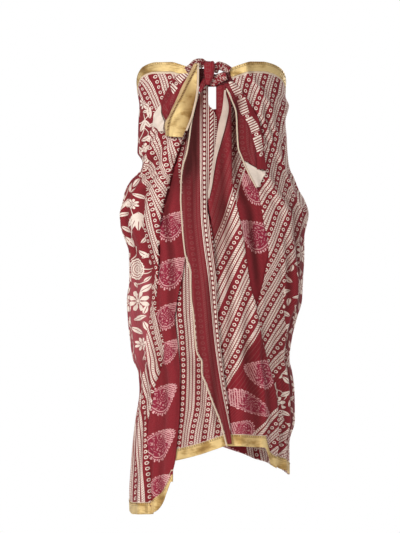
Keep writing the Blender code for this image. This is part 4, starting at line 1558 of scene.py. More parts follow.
def shell(name: str, outside: Array, inside: Array, maps: Maps,
          material: bpy.types.Material) -> bpy.types.Object:
    """One closed shell from two grids of points, with its maps.

    Args:
        name: The piece's name.
        outside: The outer points, rows from the top and columns to the viewer's right.
        inside: The inner points.
        maps: What the material reads.
        material: The finish.

    Returns:
        The object, on the part's body.
    """
    rows, columns = outside.shape[:2]
    number = np.arange(rows * columns).reshape(rows, columns)
    a, b = number[:-1, :-1].ravel(), number[1:, :-1].ravel()
    c, d = number[1:, 1:].ravel(), number[:-1, 1:].ravel()
    front = np.stack([a, b, c, d], axis=1)
    back = np.stack([a, d, c, b], axis=1) + rows * columns
    rim = np.concatenate([number[0, :-1], number[:-1, -1], number[-1, :0:-1], number[:0:-1, 0]])
    after = np.roll(rim, -1)
    side = np.stack([rim, after, after + rows * columns, rim + rows * columns], axis=1)
    points = np.concatenate([outside.reshape(-1, 3), inside.reshape(-1, 3)])
    return piece(name, points, np.concatenate([front, back, side]), maps, 2, material)


def piece(name: str, points: Array, faces: Array, maps: Maps, layers: int,
          material: bpy.types.Material) -> bpy.types.Object:
    """A mesh object from points and four-cornered faces.

    Args:
        name: The piece's name.
        points: The points in metres.
        faces: The four corners of each face.
        maps: What the material reads.
        layers: How many layers of points there are, for each of which the maps repeat.
        material: The finish.

    Returns:
        The object, on the part's body.
    """
    mesh = bpy.data.meshes.new(name)
    mesh.vertices.add(len(points))
    mesh.vertices.foreach_set("co", points.astype(np.float32).ravel())
    mesh.loops.add(faces.size)
    mesh.loops.foreach_set("vertex_index", faces.astype(np.int32).ravel())
    mesh.polygons.add(len(faces))
    mesh.polygons.foreach_set("loop_start", np.arange(0, faces.size, 4, dtype=np.int32))
    mesh.update(calc_edges=True)
    named = {"print": maps.print, "ground": maps.ground, "rim": maps.rim, "form": maps.form}
    zones = list(maps.zones) + ([maps.zones[-1]] if len(maps.zones) % 2 else [])
    for k in range(0, len(zones), 2):
        named[f"zone{k // 2}"] = (zones[k], zones[k + 1])
    for key, pair in named.items():
        flat = np.stack([np.tile(values.ravel(), layers) for values in pair], axis=1) * MM
        layer = mesh.uv_layers.new(name=key)
        layer.data.foreach_set("uv", flat[faces.ravel()].astype(np.float32).ravel())
    mesh.shade_smooth()
    mesh.validate()
    mesh.materials.append(material)
    made = bpy.data.objects.new(name, mesh)
    bpy.context.scene.collection.objects.link(made)
    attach(made, "root")
    return made


@dataclass
class Strand:
    """A gathered strand: an oval tube along its sections, with soft pleats that run along it."""

    name: str
    rows: Sequence[Gather]
    sides: int = 40
    steps: int = 10
    pleats: int = 5
    depth: float = 0.12
    twist: float = 0.6

    def build(self, material: bpy.types.Material) -> bpy.types.Object:
        """The finished piece.

        Args:
            material: Its finish.

        Returns:
            The object, on the part's body.
        """
        last = len(self.rows) - 1
        at = np.linspace(0.0, last, last * self.steps + 1)
        place = np.arange(last + 1)
        across, height, lift, width, thickness = (
            Curve(place, [row[k] for row in self.rows])(at) for k in range(5))
        side_lift = np.where(across > 0, FORM.right(height), FORM.left(height)) + lift
        depth = (FORM.front(height) + lift) * np.sqrt(np.clip(1.0 - (across / side_lift) ** 2, 0.0, 1.0))
        true_across = EYE_ACROSS + (across - EYE_ACROSS) * (1.0 - depth / VIEW_DISTANCE)
        angle = np.degrees(np.arccos(np.clip(true_across / side_lift, -1.0, 1.0)))
        middle = FORM.place(angle, height, lift)
        out = FORM.place(angle, height, lift + 1.0) - middle
        out /= np.linalg.norm(out, axis=1, keepdims=True)
        forward = np.gradient(middle, axis=0)
        forward /= np.linalg.norm(forward, axis=1, keepdims=True)
        side = np.cross(forward, out)
        side /= np.linalg.norm(side, axis=1, keepdims=True)
        raised = np.cross(side, forward)
        turn = np.linspace(0.0, 2.0 * np.pi, self.sides, endpoint=False)[None, :]
        pleat = 1.0 + self.depth * np.cos(turn * self.pleats + self.twist * at[:, None])
        wide, thick = (width * MM / 2.0)[:, None] * pleat, (thickness * MM / 2.0)[:, None] * pleat
        points = (middle[:, None, :] + side[:, None, :] * (wide * np.cos(turn))[..., None]
                  + raised[:, None, :] * (thick * np.sin(turn))[..., None])
        loops, sides = points.shape[:2]
        points = np.concatenate([points.reshape(-1, 3), middle[:1], middle[-1:]])
        number = np.arange(loops * sides).reshape(loops, sides)
        near, far = number[:-1], number[1:]
        faces = np.stack([near, np.roll(near, 1, 1), np.roll(far, 1, 1), far], axis=-1).reshape(-1, 4)
        caps = []
        for ring, middle_point, turned in ((number[0], loops * sides, False),
                                           (number[-1], loops * sides + 1, True)):
            for k in range(0, sides, 2):
                corner = [ring[k], ring[(k + 1) % sides], ring[(k + 2) % sides], middle_point]
                caps.append(corner[::-1] if turned else corner)
        faces = np.concatenate([faces, np.array(caps)])
        walk = np.concatenate([[0.0], np.cumsum(np.linalg.norm(np.diff(middle, axis=0), axis=1))]) / MM
        around_it = turn / np.pi * width[:, None]
        around_it = np.minimum(around_it, 2.0 * width[:, None] - around_it)
        along = walk[:, None] + 0.0 * turn
        ends = (np.append(around_it.ravel(), [0.0, 0.0]), np.append(along.ravel(), [0.0, walk[-1]]))
        plain = np.full(ends[0].shape, THOUSAND)
        return piece(self.name, points, faces, Maps(ends, ends, ends, (plain, plain), []), 1, material)


def replace(made: bpy.types.Object, slot: str, *nodes: str) -> bpy.types.Object:
    """Hides the nodes that a piece stands for and logs its faces.

    Args:
        made: The piece.
        slot: Not used.
        nodes: The nodes that it replaces.

    Returns:
        The piece.
    """
    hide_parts(*nodes)
    LOG.info("%s: %d faces", made.name, len(made.data.polygons))
    return made


# Each row gives across, height and half length, and where it leans, its lean in degrees.
LEFT_MOTIFS = tuple(Motif(kind, *row) for kind, rows in (
    (Flower.TULIP, (
        (-163, -302, 27),
    )),
    (Flower.SEED_HEAD, (
        (-168, -405, 25),
    )),
    (Flower.STAR, (
        (-166, -475, 23), (-158, -570, 15), (-222, -335, 20), (-212, -440, 18), (-208, -560, 18),
        (-196, -680, 16), (-176, -262, 12), (-158, -40, 14), (-166, -185, 15), (-152, -138, 11),
    )),
    (Flower.LEAF, (
        (-146, -447, 16, 40), (-193, -262, 15, 60), (-205, -300, 14, 110), (-184, -345, 15, 125),
        (-149, -340, 10, 60), (-162, -512, 15, 20), (-168, -540, 15, 150), (-148, -494, 11, 75),
        (-186, -520, 13, 110), (-172, -600, 13, 100), (-150, -596, 11, 60), (-163, -635, 14, 85),
        (-214, -385, 14, 70), (-207, -490, 14, 110), (-200, -620, 14, 70), (-214, -730, 14, 100),
        (-176, -232, 12, 30), (-146, -262, 11, 115), (-146, -60, 15, 100), (-160, -90, 16, 60),
        (-150, -118, 15, 20), (-163, -148, 15, 120), (-172, -125, 14, 80), (-162, -4, 13, 75),
        (-172, -215, 13, 50), (-188, -395, 13, 65), (-186, -425, 12, 120), (-190, -455, 12, 60),
        (-150, -372, 13, 140), (-184, -495, 12, 60), (-147, -530, 12, 110), (-182, -550, 12, 70),
        (-178, -570, 11, 130), (-174, -640, 12, 50), (-160, -665, 11, 120), (-190, -318, 12, 140),
        (-196, -285, 12, 20), (-160, -245, 12, 150), (-186, -225, 12, 100), (-150, -85, 12, 130),
        (-146, -140, 11, 60), (-168, -62, 12, 110), (-158, -165, 12, 30), (-139, -88, 9, 30),
        (-141, -122, 9, 150), (-154, -58, 9, 20), (-143, -272, 10, 100), (-186, -262, 9, 75),
        (-145, -376, 9, 40), (-138, -390, 7, 110), (-171, -440, 8, 120), (-143, -427, 9, 50),
        (-133, -444, 8, 60), (-137, -492, 9, 70), (-178, -346, 10, 95),
    )),
    (Flower.STEM, (
        (-180, -330, 34, 75), (-150, -415, 14, 5), (-180, -560, 34, 95), (-152, -435, 20, 25),
        (-196, -250, 30, 60), (-158, -100, 34, 70), (-176, -280, 26, 110), (-172, -375, 20, 60),
        (-172, -620, 30, 80), (-166, -135, 26, 100), (-150, -70, 26, 55), (-146, -105, 22, 120),
        (-148, -405, 16, -12),
    )),
) for row in rows)


@dataclass
class Stitches:
    """Rows of small thread bars that hold a border, repeated by geometry nodes."""

    name: str
    pitch: float = 5.2
    length: float = 2.6
    thickness: float = 0.55
    seed: int = RANDOM_SEED
    sides: int = 6
    shortest: float = 0.82
    longest: float = 1.15
    sunk: float = 0.3

    def tree(self) -> bpy.types.NodeTree:
        """The nodes that put one thread bar on each point.

        Returns:
            The node tree, with its sizes, its seed and its thread as named inputs.
        """
        tree = bpy.data.node_groups.new(f"{self.name}_nodes", "GeometryNodeTree")
        sockets = tree.interface
        sockets.new_socket("Points", in_out="INPUT", socket_type="NodeSocketGeometry")
        for label, kind in (("Length", "NodeSocketFloat"), ("Thickness", "NodeSocketFloat"),
                            ("Seed", "NodeSocketInt"), ("Thread", "NodeSocketMaterial")):
            sockets.new_socket(label, in_out="INPUT", socket_type=kind)
        sockets.new_socket("Stitches", in_out="OUTPUT", socket_type="NodeSocketGeometry")
        given, taken, bar, spread, turn, turned, scale, solid, dress = (tree.nodes.new(kind) for kind in (
            "NodeGroupInput", "NodeGroupOutput", "GeometryNodeMeshCylinder",
            "GeometryNodeInstanceOnPoints", "GeometryNodeInputNamedAttribute",
            "FunctionNodeEulerToRotation", "FunctionNodeRandomValue", "GeometryNodeRealizeInstances",
            "GeometryNodeSetMaterial"))
        turn.data_type = "FLOAT_VECTOR"
        turn.inputs["Name"].default_value = "turn"
        bar.inputs["Vertices"].default_value = self.sides
        scale.inputs[2].default_value = self.shortest
        scale.inputs[3].default_value = self.longest
        for start, end in (
                (given.outputs["Points"], spread.inputs["Points"]),
                (bar.outputs["Mesh"], spread.inputs["Instance"]),
                (given.outputs["Length"], bar.inputs["Depth"]),
                (given.outputs["Thickness"], bar.inputs["Radius"]),
                (given.outputs["Seed"], scale.inputs["Seed"]),
                (turn.outputs[0], turned.inputs[0]),
                (turned.outputs[0], spread.inputs["Rotation"]),
                (scale.outputs[1], spread.inputs["Scale"]),
                (spread.outputs[0], solid.inputs[0]),
                (solid.outputs[0], dress.inputs["Geometry"]),
                (given.outputs["Thread"], dress.inputs["Material"]),
                (dress.outputs[0], taken.inputs[0])):
            tree.links.new(start, end)
        return tree

    def along(self, border: Stretch, down: float, side: float | None = None) -> bpy.types.Object:
        """A row along a border's upper edge, or along its left edge.

        Args:
            border: The border that is sewn on.
            down: How far the row lies from that edge.
            side: How far the bars lean, in degrees, where the row follows the left edge.

        Returns:
            The finished row.
        """
        angle, height, share = border.grid()
        lift = border.lift(angle, height, share) + border.outer
        if side is None:
            surface = FORM.place(angle[0], height[0] - down, lift[0])
            inner = FORM.place(angle[0], height[0] - down - 3.0, lift[0])
        else:
            place = angle[:, 0] - math.degrees(down / FOLD_RADIUS)
            out = np.array([np.interp(-at, -row, rise) for at, row, rise in zip(place, angle, lift)])
            surface = FORM.place(place, height[:, 0], out + self.thickness * self.sunk)
            inner = FORM.place(place - 1.2, height[:, 0] + side, out + self.thickness * self.sunk)
        walk = np.concatenate([[0.0], np.cumsum(np.linalg.norm(np.diff(surface, axis=0), axis=1))])
        stops = np.arange(self.pitch * MM, walk[-1] - self.pitch * MM, self.pitch * MM)
        points = np.stack([np.interp(stops, walk, surface[:, k]) for k in range(3)], axis=1)
        lean = np.stack([np.interp(stops, walk, (inner - surface)[:, k]) for k in range(3)], axis=1)
        turns = [Vector(row).to_track_quat("Z", "Y").to_euler() for row in lean]
        mesh = bpy.data.meshes.new(self.name)
        mesh.from_pydata(points.tolist(), [], [])
        layer = mesh.attributes.new("turn", "FLOAT_VECTOR", "POINT")
        layer.data.foreach_set("vector", np.array(turns, float).ravel())
        carrier = bpy.data.objects.new(f"{self.name}_points", mesh)
        bpy.context.scene.collection.objects.link(carrier)
        paint = Paint(f"{self.name}_thread")
        paint.surface(THREAD, 0.7)
        tree = self.tree()
        change = carrier.modifiers.new("rows", "NODES")
        change.node_group = tree
        values = {"Length": self.length * MM, "Thickness": self.thickness * MM, "Seed": self.seed,
                  "Thread": paint.material}
        for item in tree.interface.items_tree:
            if item.in_out == "INPUT" and item.name in values:
                change[item.identifier] = values[item.name]
        graph = bpy.context.evaluated_depsgraph_get()
        done = bpy.data.meshes.new_from_object(carrier.evaluated_get(graph))
        carrier.modifiers.remove(change)
        bpy.data.objects.remove(carrier)
        done.materials.clear()
        done.materials.append(paint.material)
        made = bpy.data.objects.new(self.name, done)
        bpy.context.scene.collection.objects.link(made)
        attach(made, "root")
        LOG.info("%s: %d stitches", self.name, len(stops))
        return made


@dataclass
class WoundCloth:
    """The stretch that is wound round the back and both sides, and its gold borders."""

    columns: int = 250
    rows: int = 170
    vine_right: float = -44.0
    stripes_right: float = -64.0
    stripes_left: float = -118.0
    vine_left: float = -138.0
    right_lean: float = 27.0
    back_lean: float = 12.0
    left_lean: float = 17.0
    scale: float = 0.9

    def left_edge(self) -> AngleEdge:
        """The edge at the viewer's right of the knot."""
        return edge(RIGHT_WRAP_LEFT)

    def right_edge(self) -> AngleEdge:
        """The fold at the viewer's left of the knot, after a whole turn."""
        fold = edge(LEFT_FOLD)
        return lambda height: fold(height) - 360.0

    def stretch(self, name: str, top: HeightEdge, bottom: HeightEdge, rows: int, inner: float,
                outer: float) -> Stretch:
        """A stretch of the wound cloth between two ends."""
        return Stretch(name, self.left_edge(), self.right_edge(), top, bottom, (), self.columns, rows,
                       inner, outer, roll_left=1.6, roll_right=3.2, whole_round=True)

    def print_maps(self, cloth: Stretch) -> Maps:
        """The maps of the cloth, whose stripes follow the left, the back and the right side.

        Args:
            cloth: The stretch.

        Returns:
            The maps.
        """
        angle, height, _ = cloth.grid()
        ground = FORM.along(angle, height)
        upper = (cloth.top(angle) - height, height - cloth.bottom(angle))
        turned = FORM.along(angle + 360.0, height)
        behind = ground - FORM.along(np.full(height.shape, -90.0), height)
        at_right, at_left = angle > self.vine_right, angle < self.vine_left
        right_turn, left_turn = math.radians(self.right_lean), math.radians(self.left_lean)
        across = np.where(
            at_right, place_across(RIGHT_STRIPES, ground, height, self.scale),
            np.where(at_left, place_across(LEFT_STRIPES, turned, height, self.scale),
                     behind - height * math.sin(math.radians(self.back_lean))))
        along = np.where(
            at_right, -ground * math.sin(right_turn) - height * math.cos(right_turn),
            np.where(at_left, turned * math.sin(left_turn) - height * math.cos(left_turn), -height))
        right_vine = points_curve(RIGHT_VINE, True)(height)
        left_vine = points_curve(LEFT_VINE)(height)
        zones = [ground - FORM.along(FORM.angle_of(right_vine, height), height)]
        zones += [ground - FORM.along(np.full(height.shape, at), height)
                  for at in (self.vine_right, self.stripes_right, self.stripes_left, self.vine_left)]
        zones.append(turned - FORM.along(FORM.angle_of(left_vine, height), height))
        place = np.where(at_right, FORM.spread(angle, height),
                         np.where(at_left, FORM.spread(angle + 360.0, height), behind))
        # The form map carries the crowding of the stripes and the painted light and shade.
        form = (crowding(across, ground, height), FORM.shading(angle, height))
        return Maps((across, along), (place, height), upper, form, zones)

    def build(self) -> list[bpy.types.Object]:
        """The cloth and its two borders.

        Returns:
            The three pieces.
        """
        top, bottom = around(UPPER_EDGE), around(WRAP_HEM)
        cloth = self.stretch("wound_cloth", top, bottom, self.rows, CLOTH_IN, CLOTH_OUT)
        angle, height, share = cloth.grid()
        lift = cloth.lift(angle, height, share)
        finish = VoilePrint("wound_print", (Zone.STRIPES, Zone.VINE, Zone.STRIPES, Zone.LATTICE,
                                            Zone.STRIPES, Zone.GARLAND, Zone.STRIPES),
                            motifs=LEFT_MOTIFS, trimmed_top=True, trimmed_hem=True)
        made = shell(cloth.name, FORM.place(angle, height, lift + CLOTH_OUT),
                     FORM.place(angle, height, lift + CLOTH_IN), self.print_maps(cloth), finish.make())
        gold = GoldBrocade("wound_gold", 6.0, 0.44).make()
        upper = self.stretch("upper_border", top, moved(top, -TOP_BAND), 10, RIBBON_IN, RIBBON_OUT)
        lower = self.stretch("hem_border", moved(bottom, HEM_BAND), bottom, 10, RIBBON_IN, RIBBON_OUT)
        upper_made, lower_made = upper.build(gold), lower.build(gold)
        rows = [Stitches("upper_border_stitches").along(upper, 2.6),
                Stitches("hem_border_stitches").along(lower, 1.8)]
        replace(made, "printed_cotton", "back_wrap", "left_wrap", "right_wrap")
        replace(upper_made, "gold_border", "top_gold_back", "top_gold_left", "top_gold_right")
        replace(lower_made, "gold_border", "hem_gold_back", "hem_gold_left", "hem_gold_right")
        return [made, upper_made, lower_made]


LEFT_PAISLEYS = (
    Paisley(-89, -306, 84, 52, 48), Paisley(-88, -409, 90, 58, 46),
    Paisley(-95, -504, 78, 46, 48), Paisley(-95, -583, 68, 40, 52),
    Paisley(-105, -686, 88, 56, 47), Paisley(-112, -786, 92, 58, 46),
    Paisley(-112, -877, 68, 42, 44),
)
RIGHT_PAISLEYS = (
    Paisley(99, -636, 80, 60, 176, -0.25, 0.45), Paisley(76, -699, 116, 42, 152, 0.15, -0.35),
    Paisley(58, -760, 66, 44, 170, -0.2, 0.7),
)
VALLEY_PAISLEYS = (
    Paisley(89, -330, 90, 62, 148), Paisley(86, -228, 84, 44, 130),
)


@dataclass
class FrontLayers:
    """The open layers that fall from the knot."""

    rows: int = 150

    def layer(self, stretch: Stretch, finish: VoilePrint, *nodes: str) -> bpy.types.Object:
        """One layer of printed cloth that stands for these nodes."""
        return replace(stretch.build(finish.make()), "printed_cotton", *nodes)

    def border(self, like: Stretch, name: str, node: str,
               top: HeightEdge | None = None) -> list[bpy.types.Object]:
        """The gold border at the hem of a layer, and its row of stitches.

        Args:
            like: The layer.
            name: The border's name.
            node: The node that it stands for.
            top: The border's upper end, where it isn't as wide as the others.

        Returns:
            The border and its stitches.
        """
        border = Stretch(name, like.left, like.right, top or moved(like.bottom, HEM_BAND), like.bottom,
                         like.lifts, like.columns, 10, RIBBON_IN, RIBBON_OUT, like.roll_left,
                         like.roll_right)
        made = replace(border.build(GoldBrocade(f"{name}_gold", 4.0, 0.42).make()), "gold_border", node)
        return [made, Stitches(f"{name}_stitches").along(border, 1.8)]

    def build(self) -> list[bpy.types.Object]:
        """All the layers.

        Returns:
            The six pieces.
        """
        left = Stretch("left_layer", edge(LEFT_FOLD, -TUCK), edge(LEFT_FRONT_RIGHT), level(-34.0),
                       hem(LEFT_FRONT_HEM), LEFT_FRONT_LIFT, 40, self.rows, roll_right=1.0,
                       guides=(Guide(0, LEFT_FRONT_STRIPES),), lines=(edge(LEFT_FRONT_STRIPES),))
        inner = Stretch("inner_layer", edge(LEFT_FRONT_RIGHT, -15.0), edge(FLAP_LEFT, FLAP_TUCK),
                        level(-375.0), hem(CENTRE_HEM), LEFT_INNER_LIFT, 30, self.rows // 2,
                        guides=INNER_STRIPES)
        flap = Stretch("centre_flap", edge(FLAP_LEFT, lift=FLAP_OUT), edge(FLAP_RIGHT, lift=FLAP_OUT),
                       level(0.0), level(-789.0), FLAP_LIFT, 30, self.rows, guides=FLAP_LINES,
                       lines=(edge(FLAP_LINES[0].points, -4.0),), roll_right=0.8)
        right = Stretch("right_layer", edge(FRONT_LEFT), edge(FRONT_RIGHT), level(-3.0),
                        hem(RIGHT_FRONT_HEM), FRONT_LIFT, 50, self.rows, roll_right=1.7, lean=-28.0,
                        guides=FRONT_STRIPES,
                        lines=(edge(FRONT_STRIPES[0].points), edge(FRONT_LOW), edge(FRONT_CORNER)))
        valley = Stretch("valley_layer", edge(FRONT_RIGHT, -DEEP_TUCK), edge(RIGHT_WRAP_LEFT, DEEP_TUCK),
                         level(-30.0), level(-508.0), VALLEY_LIFT, 30, self.rows // 2, lean=-27.0,
                         guides=VALLEY_STRIPES, lines=(edge(VALLEY_STRIPES[1].points),))
        strand = Stretch("inner_strand_cloth", edge(INNER_STRAND_LEFT), edge(INNER_STRAND_RIGHT),
                         level(0.0), level(-108.0), INNER_STRAND_LIFT, 10, 30)
        plan = (
            (left, VoilePrint("left_print", (Zone.PLAIN, Zone.STRIPES), LEFT_PAISLEYS,
                              trimmed_hem=True), "left_front"),
            (inner, VoilePrint("inner_print", (Zone.STRIPES,), trimmed_hem=True), "left_inner"),
            # The flap's red ground is painted darker all over, as painted shade.
            (flap, VoilePrint("flap_print", (Zone.SHEER, Zone.BUNDLE), bright=0.86), "front_flap"),
            (right, VoilePrint("right_print", (Zone.SHEER, Zone.BEADED, Zone.PLAIN, Zone.STRIPES),
                               RIGHT_PAISLEYS, trimmed_hem=True), "right_front"),
            (valley, VoilePrint("valley_print", (Zone.STRIPES, Zone.PLAIN), VALLEY_PAISLEYS),
             "right_valley"),
            (strand, VoilePrint("strand_print", (Zone.SHEER,)), "inner_strand"),
        )
        sewn = {
            "left_layer": self.border(left, "left_hem_border", "hem_gold_left_front",
                                      hem(LEFT_BAND_TOP)),
            "inner_layer": self.border(inner, "centre_hem_border", "hem_gold_centre"),
            "right_layer": self.border(right, "right_hem_border", "hem_gold_right_front"),
        }
        made = []
        for stretch, finish, node in plan:
            made.append(self.layer(stretch, finish, node))
            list(sewn.get(stretch.name, []))
        return made


@dataclass
class Edges:
    """The piped edges of the flap and the right tail, and the turned selvedge of the right layer."""

    def piping(self, name: str, table: Sequence[tuple[float, float]], lifts: Sequence[Lift], out: float,
               node: str, material: bpy.types.Material) -> bpy.types.Object:
        """A round piping just outside a side edge.

        Args:
            name: The piping's name.
            table: The side edge.
            lifts: The lifts of the cloth that it edges.
            out: How much further out its middle lies.
            node: The node that it stands for.
            material: Its finish.

        Returns:
            The finished piece.
        """
        lift = Curve([row.height for row in lifts], [row.left for row in lifts])
        beside = PIPING_WIDTH / 2.0 + PIPING_GAP
        rows = [Gather(across - beside, height, float(lift(height)) + out, PIPING_WIDTH, PIPING_WIDTH)
                for height, across in table[1:]]
        made = Strand(name, rows, sides=14, pleats=4, depth=0.10, twist=9.0)
        return replace(made.build(material), "cream_edge", node)

    def build(self) -> list[bpy.types.Object]:
        """The three edges.

        Returns:
            The three pieces.
        """
        cream = CreamCotton("cream_piping").make()
        width, start = points_curve(SELVEDGE_WIDTH), points_curve(FRONT_LEFT)
        selvedge = Stretch("turned_selvedge", edge(FRONT_LEFT, -0.3),
                           lambda height: FORM.angle_of(start(height) + width(height), height, FRONT_OUT),
                           level(-12.0), level(-250.0), SELVEDGE_LIFT, 10, 90, 0.0, 1.4, roll_left=0.8,
                           roll_width=4.0)
        turned = replace(selvedge.build(CreamCotton("cream_selvedge", (0.60, 0.46, 0.38)).make()),
                         "cream_edge", "front_selvedge")
        return [
            self.piping("flap_edge", FLAP_LEFT, FLAP_LIFT, 0.75, "flap_piping", cream),
            self.piping("right_tail_edge", RIGHT_TAIL_LEFT, RIGHT_TAIL_LIFT, 1.5, "right_tail_piping",
                        cream),
            turned,
        ]


@dataclass
class Knot:
    """The gathered strands of the knot."""

    def build(self) -> list[bpy.types.Object]:
        """All six strands.

        Returns:
            The six pieces.
        """
        made = []
        # The fourth value paints each strand's red ground darker, as painted shade: darkest on the band in
        # the hollow behind the knot.
        for name, rows, zone, bright, node in (
                ("knot_band_back", KNOT_BACK, Zone.SHEER, 0.42, "knot_back"),
                ("knot_band", KNOT_LOOP, Zone.SHEER, 1.0, "knot_loop"),
                ("knot_turn_left", KNOT_LEFT, Zone.HATCH, 0.62, "knot_left"),
                ("knot_turn_right", KNOT_RIGHT, Zone.HATCH, 0.7, "knot_right"),
                ("knot_wrap", KNOT_CUFF, Zone.HATCH, 1.0, "knot_cuff"),
                ("knot_tuck", KNOT_GATHER, Zone.SHEER, 0.9, "knot_gather")):
            finish = VoilePrint(f"{name}_print", (zone,), bright=bright)
            made.append(replace(Strand(name, rows).build(finish.make()), "printed_cotton", node))
        return made


@dataclass
class Tails:
    """The two tied corners that hang from the knot."""

    def build(self) -> list[bpy.types.Object]:
        """All the stretches of both corners.

        Returns:
            The seven pieces.
        """
        tail_left = edge(RIGHT_TAIL_LEFT, lift=TAIL_OUT)
        ivory = CreamCotton("tail_corner_cotton", (0.78, 0.65, 0.55)).make()
        cream = CreamCotton("tail_edge_cotton", (0.66, 0.50, 0.36)).make()
        # The tails' red grounds are painted a little darker, as painted shade.
        dark = VoilePrint("left_tail_print", (Zone.SHEER, Zone.LADDER), bright=0.9).make()
        red = VoilePrint("right_tail_print", (Zone.SHEER,), bright=0.86).make()
        ladder = VoilePrint("ladder_print", (Zone.LADDER,), bright=0.95).make()
        gold = GoldBrocade("tail_gold", -9.0, 0.37, 8.5).make()
        gold_edge = tuple(row._replace(left=row.right, middle=row.right) for row in GOLD_TAIL_LIFT)
        plan = (
            (Stretch("left_tail_cloth", edge(LEFT_TAIL_LEFT, lift=TAIL_OUT),
                     edge(GOLD_TAIL_LEFT, TUCK, TAIL_OUT), level(24.0), level(-98.0), LEFT_TAIL_LIFT, 24,
                     40, outer=1.4, roll_left=0.6, lean=-42.0, lines=(edge(TAIL_BARS),)), dark,
             "printed_cotton", "left_tail"),
            (Stretch("left_tail_corner", edge(LEFT_TAIL_TIP, lift=TAIL_OUT),
                     edge(LEFT_TAIL_TIP_RIGHT, 0.3, TAIL_OUT), level(-47.0), hem(LEFT_TAIL_END),
                     LEFT_TAIL_LIFT, 16, 30, outer=1.4), ivory, "cream_edge", "left_tail_tip"),
            (Stretch("left_tail_ribbon", edge(GOLD_TAIL_LEFT, lift=GOLD_OUT),
                     edge(GOLD_TAIL_RIGHT, lift=GOLD_OUT), level(46.0), hem(GOLD_TAIL_END), GOLD_TAIL_LIFT,
                     30, 70, outer=1.4, roll_left=0.5, roll_right=0.5), gold, "gold_border",
             "left_tail_gold"),
            (Stretch("left_tail_piping", edge(GOLD_TAIL_RIGHT, 0.3, GOLD_OUT),
                     edge(GOLD_TAIL_RIGHT, 4.8, GOLD_OUT), level(46.0), level(-102.0), gold_edge, 6, 60,
                     outer=1.5, roll_left=0.3, roll_right=0.5, roll_width=2.0), cream, "cream_edge",
             "left_tail_edge"),
            (Stretch("right_tail_cloth", tail_left, edge(LADDER_LEFT, TUCK, TAIL_OUT), level(2.0),
                     hem(RIGHT_TAIL_END), RIGHT_TAIL_LIFT, 24, 60, outer=1.4), red, "printed_cotton",
             "right_tail"),
            (Stretch("right_tail_strand", edge(LADDER_LEFT, lift=TAIL_OUT), edge(LADDER_RIGHT, lift=TAIL_OUT),
                     level(6.0), hem(LADDER_END), LADDER_LIFT, 24, 70, outer=1.4, roll_left=0.5,
                     roll_right=0.5, lean=27.0), ladder, "printed_cotton", "right_tail_ladder"),
            (Stretch("right_tail_corner", tail_left, edge(RIGHT_TIP_RIGHT, lift=TAIL_OUT),
                     moved(hem(RIGHT_TAIL_END), -2.2), level(-225.0), RIGHT_TAIL_LIFT, 20, 30, outer=1.4),
             ivory, "cream_edge", "right_tail_tip"),
        )
        made = [replace(stretch.build(material), slot, node) for stretch, material, slot, node in plan]
        rows = Stitches("tail_ribbon_stitches", 7.2, 5.6, 0.75).along(plan[2][0], 8.5, 3.0)
        return made


class Lamp(NamedTuple):
    """A soft square light: its place and size in metres and its power in watts."""

    name: str
    place: tuple[float, float, float]
    size: float
    power: float


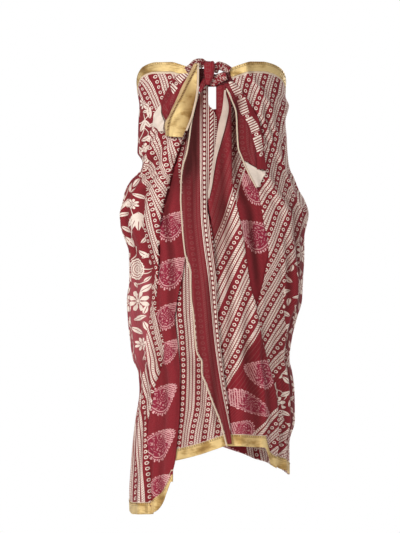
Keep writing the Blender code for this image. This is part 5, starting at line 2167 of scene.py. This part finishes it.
@dataclass
class Studio:
    """The camera, the floor and the soft lights, in metres."""

    floor_height: float = -1.34
    floor_reach: float = 2.3
    floor_white: float = 0.93
    world_light: float = 0.40
    aim_height: float = -0.4
    lamps: tuple[Lamp, ...] = (Lamp("key", (-2.3, -3.4, 1.5), 1.2, 140.0),
                               Lamp("fill", (3.0, -2.8, 0.2), 2.0, 20.0),
                               Lamp("back", (1.6, 3.6, 1.4), 1.6, 105.0))

    def build(self) -> None:
        """Adds them to the scene."""
        self.camera()
        self.floor()
        self.world()
        for lamp in self.lamps:
            self.light(lamp)
        bpy.context.scene.view_settings.view_transform = "Standard"

    def camera(self) -> None:
        """A long lens straight in front, level with the middle of the view."""
        lens = bpy.data.cameras.new("view")
        lens.sensor_fit = "VERTICAL"
        lens.sensor_height = SENSOR
        lens.lens = SENSOR * VIEW_DISTANCE / VIEW_HEIGHT
        lens.clip_end = 200.0
        stand = bpy.data.objects.new("view", lens)
        stand.location = (EYE_ACROSS * MM, -VIEW_DISTANCE * MM, EYE_HEIGHT * MM)
        stand.rotation_euler = (math.pi / 2.0, 0.0, 0.0)
        bpy.context.scene.collection.objects.link(stand)
        bpy.context.scene.camera = stand

    def floor(self) -> None:
        """A square of pale paper below the hem."""
        reach, height = self.floor_reach, self.floor_height
        mesh = bpy.data.meshes.new("floor")
        mesh.from_pydata([(-reach, -reach, height), (reach, -reach, height), (reach, reach, height),
                          (-reach, reach, height)], [], [(0, 1, 2, 3)])
        paper = Paint("floor_paper")
        paper.feed(paper.shader.inputs["Base Color"], (self.floor_white,) * 3)
        paper.feed(paper.shader.inputs["Roughness"], 0.95)
        mesh.materials.append(paper.material)
        floor = bpy.data.objects.new("floor", mesh)
        bpy.context.scene.collection.objects.link(floor)

    def world(self) -> None:
        """White surroundings that show full white and light the cloth more softly."""
        world = bpy.data.worlds.new("studio")
        world.use_nodes = True
        tree = world.node_tree
        ground = tree.nodes["Background"]
        ground.inputs["Color"].default_value = (1.0, 1.0, 1.0, 1.0)
        seen = tree.nodes.new("ShaderNodeLightPath")
        bright = tree.nodes.new("ShaderNodeMapRange")
        bright.inputs["To Min"].default_value = self.world_light
        tree.links.new(seen.outputs["Is Camera Ray"], bright.inputs["Value"])
        tree.links.new(bright.outputs["Result"], ground.inputs["Strength"])
        bpy.context.scene.world = world

    def light(self, lamp: Lamp) -> None:
        """One light, turned to the middle of the cloth.

        Args:
            lamp: Its place, size and power.
        """
        data = bpy.data.lights.new(lamp.name, "AREA")
        data.size = lamp.size
        data.energy = lamp.power
        light = bpy.data.objects.new(lamp.name, data)
        light.location = lamp.place
        toward = np.array([0.0, 0.0, self.aim_height]) - np.array(lamp.place)
        flat = math.hypot(toward[0], toward[1])
        light.rotation_euler = (math.pi / 2.0 + math.atan2(toward[2], flat), 0.0,
                                math.atan2(toward[1], toward[0]) - math.pi / 2.0)
        bpy.context.scene.collection.objects.link(light)


def main() -> None:
    """Builds every sub-assembly in order."""
    logging.basicConfig(level=logging.INFO, format="%(message)s")
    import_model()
    for part in (WoundCloth(), FrontLayers(), Edges(), Knot(), Tails()):
        part.build()
    Studio().build()


if __name__ == "__main__":
    main()
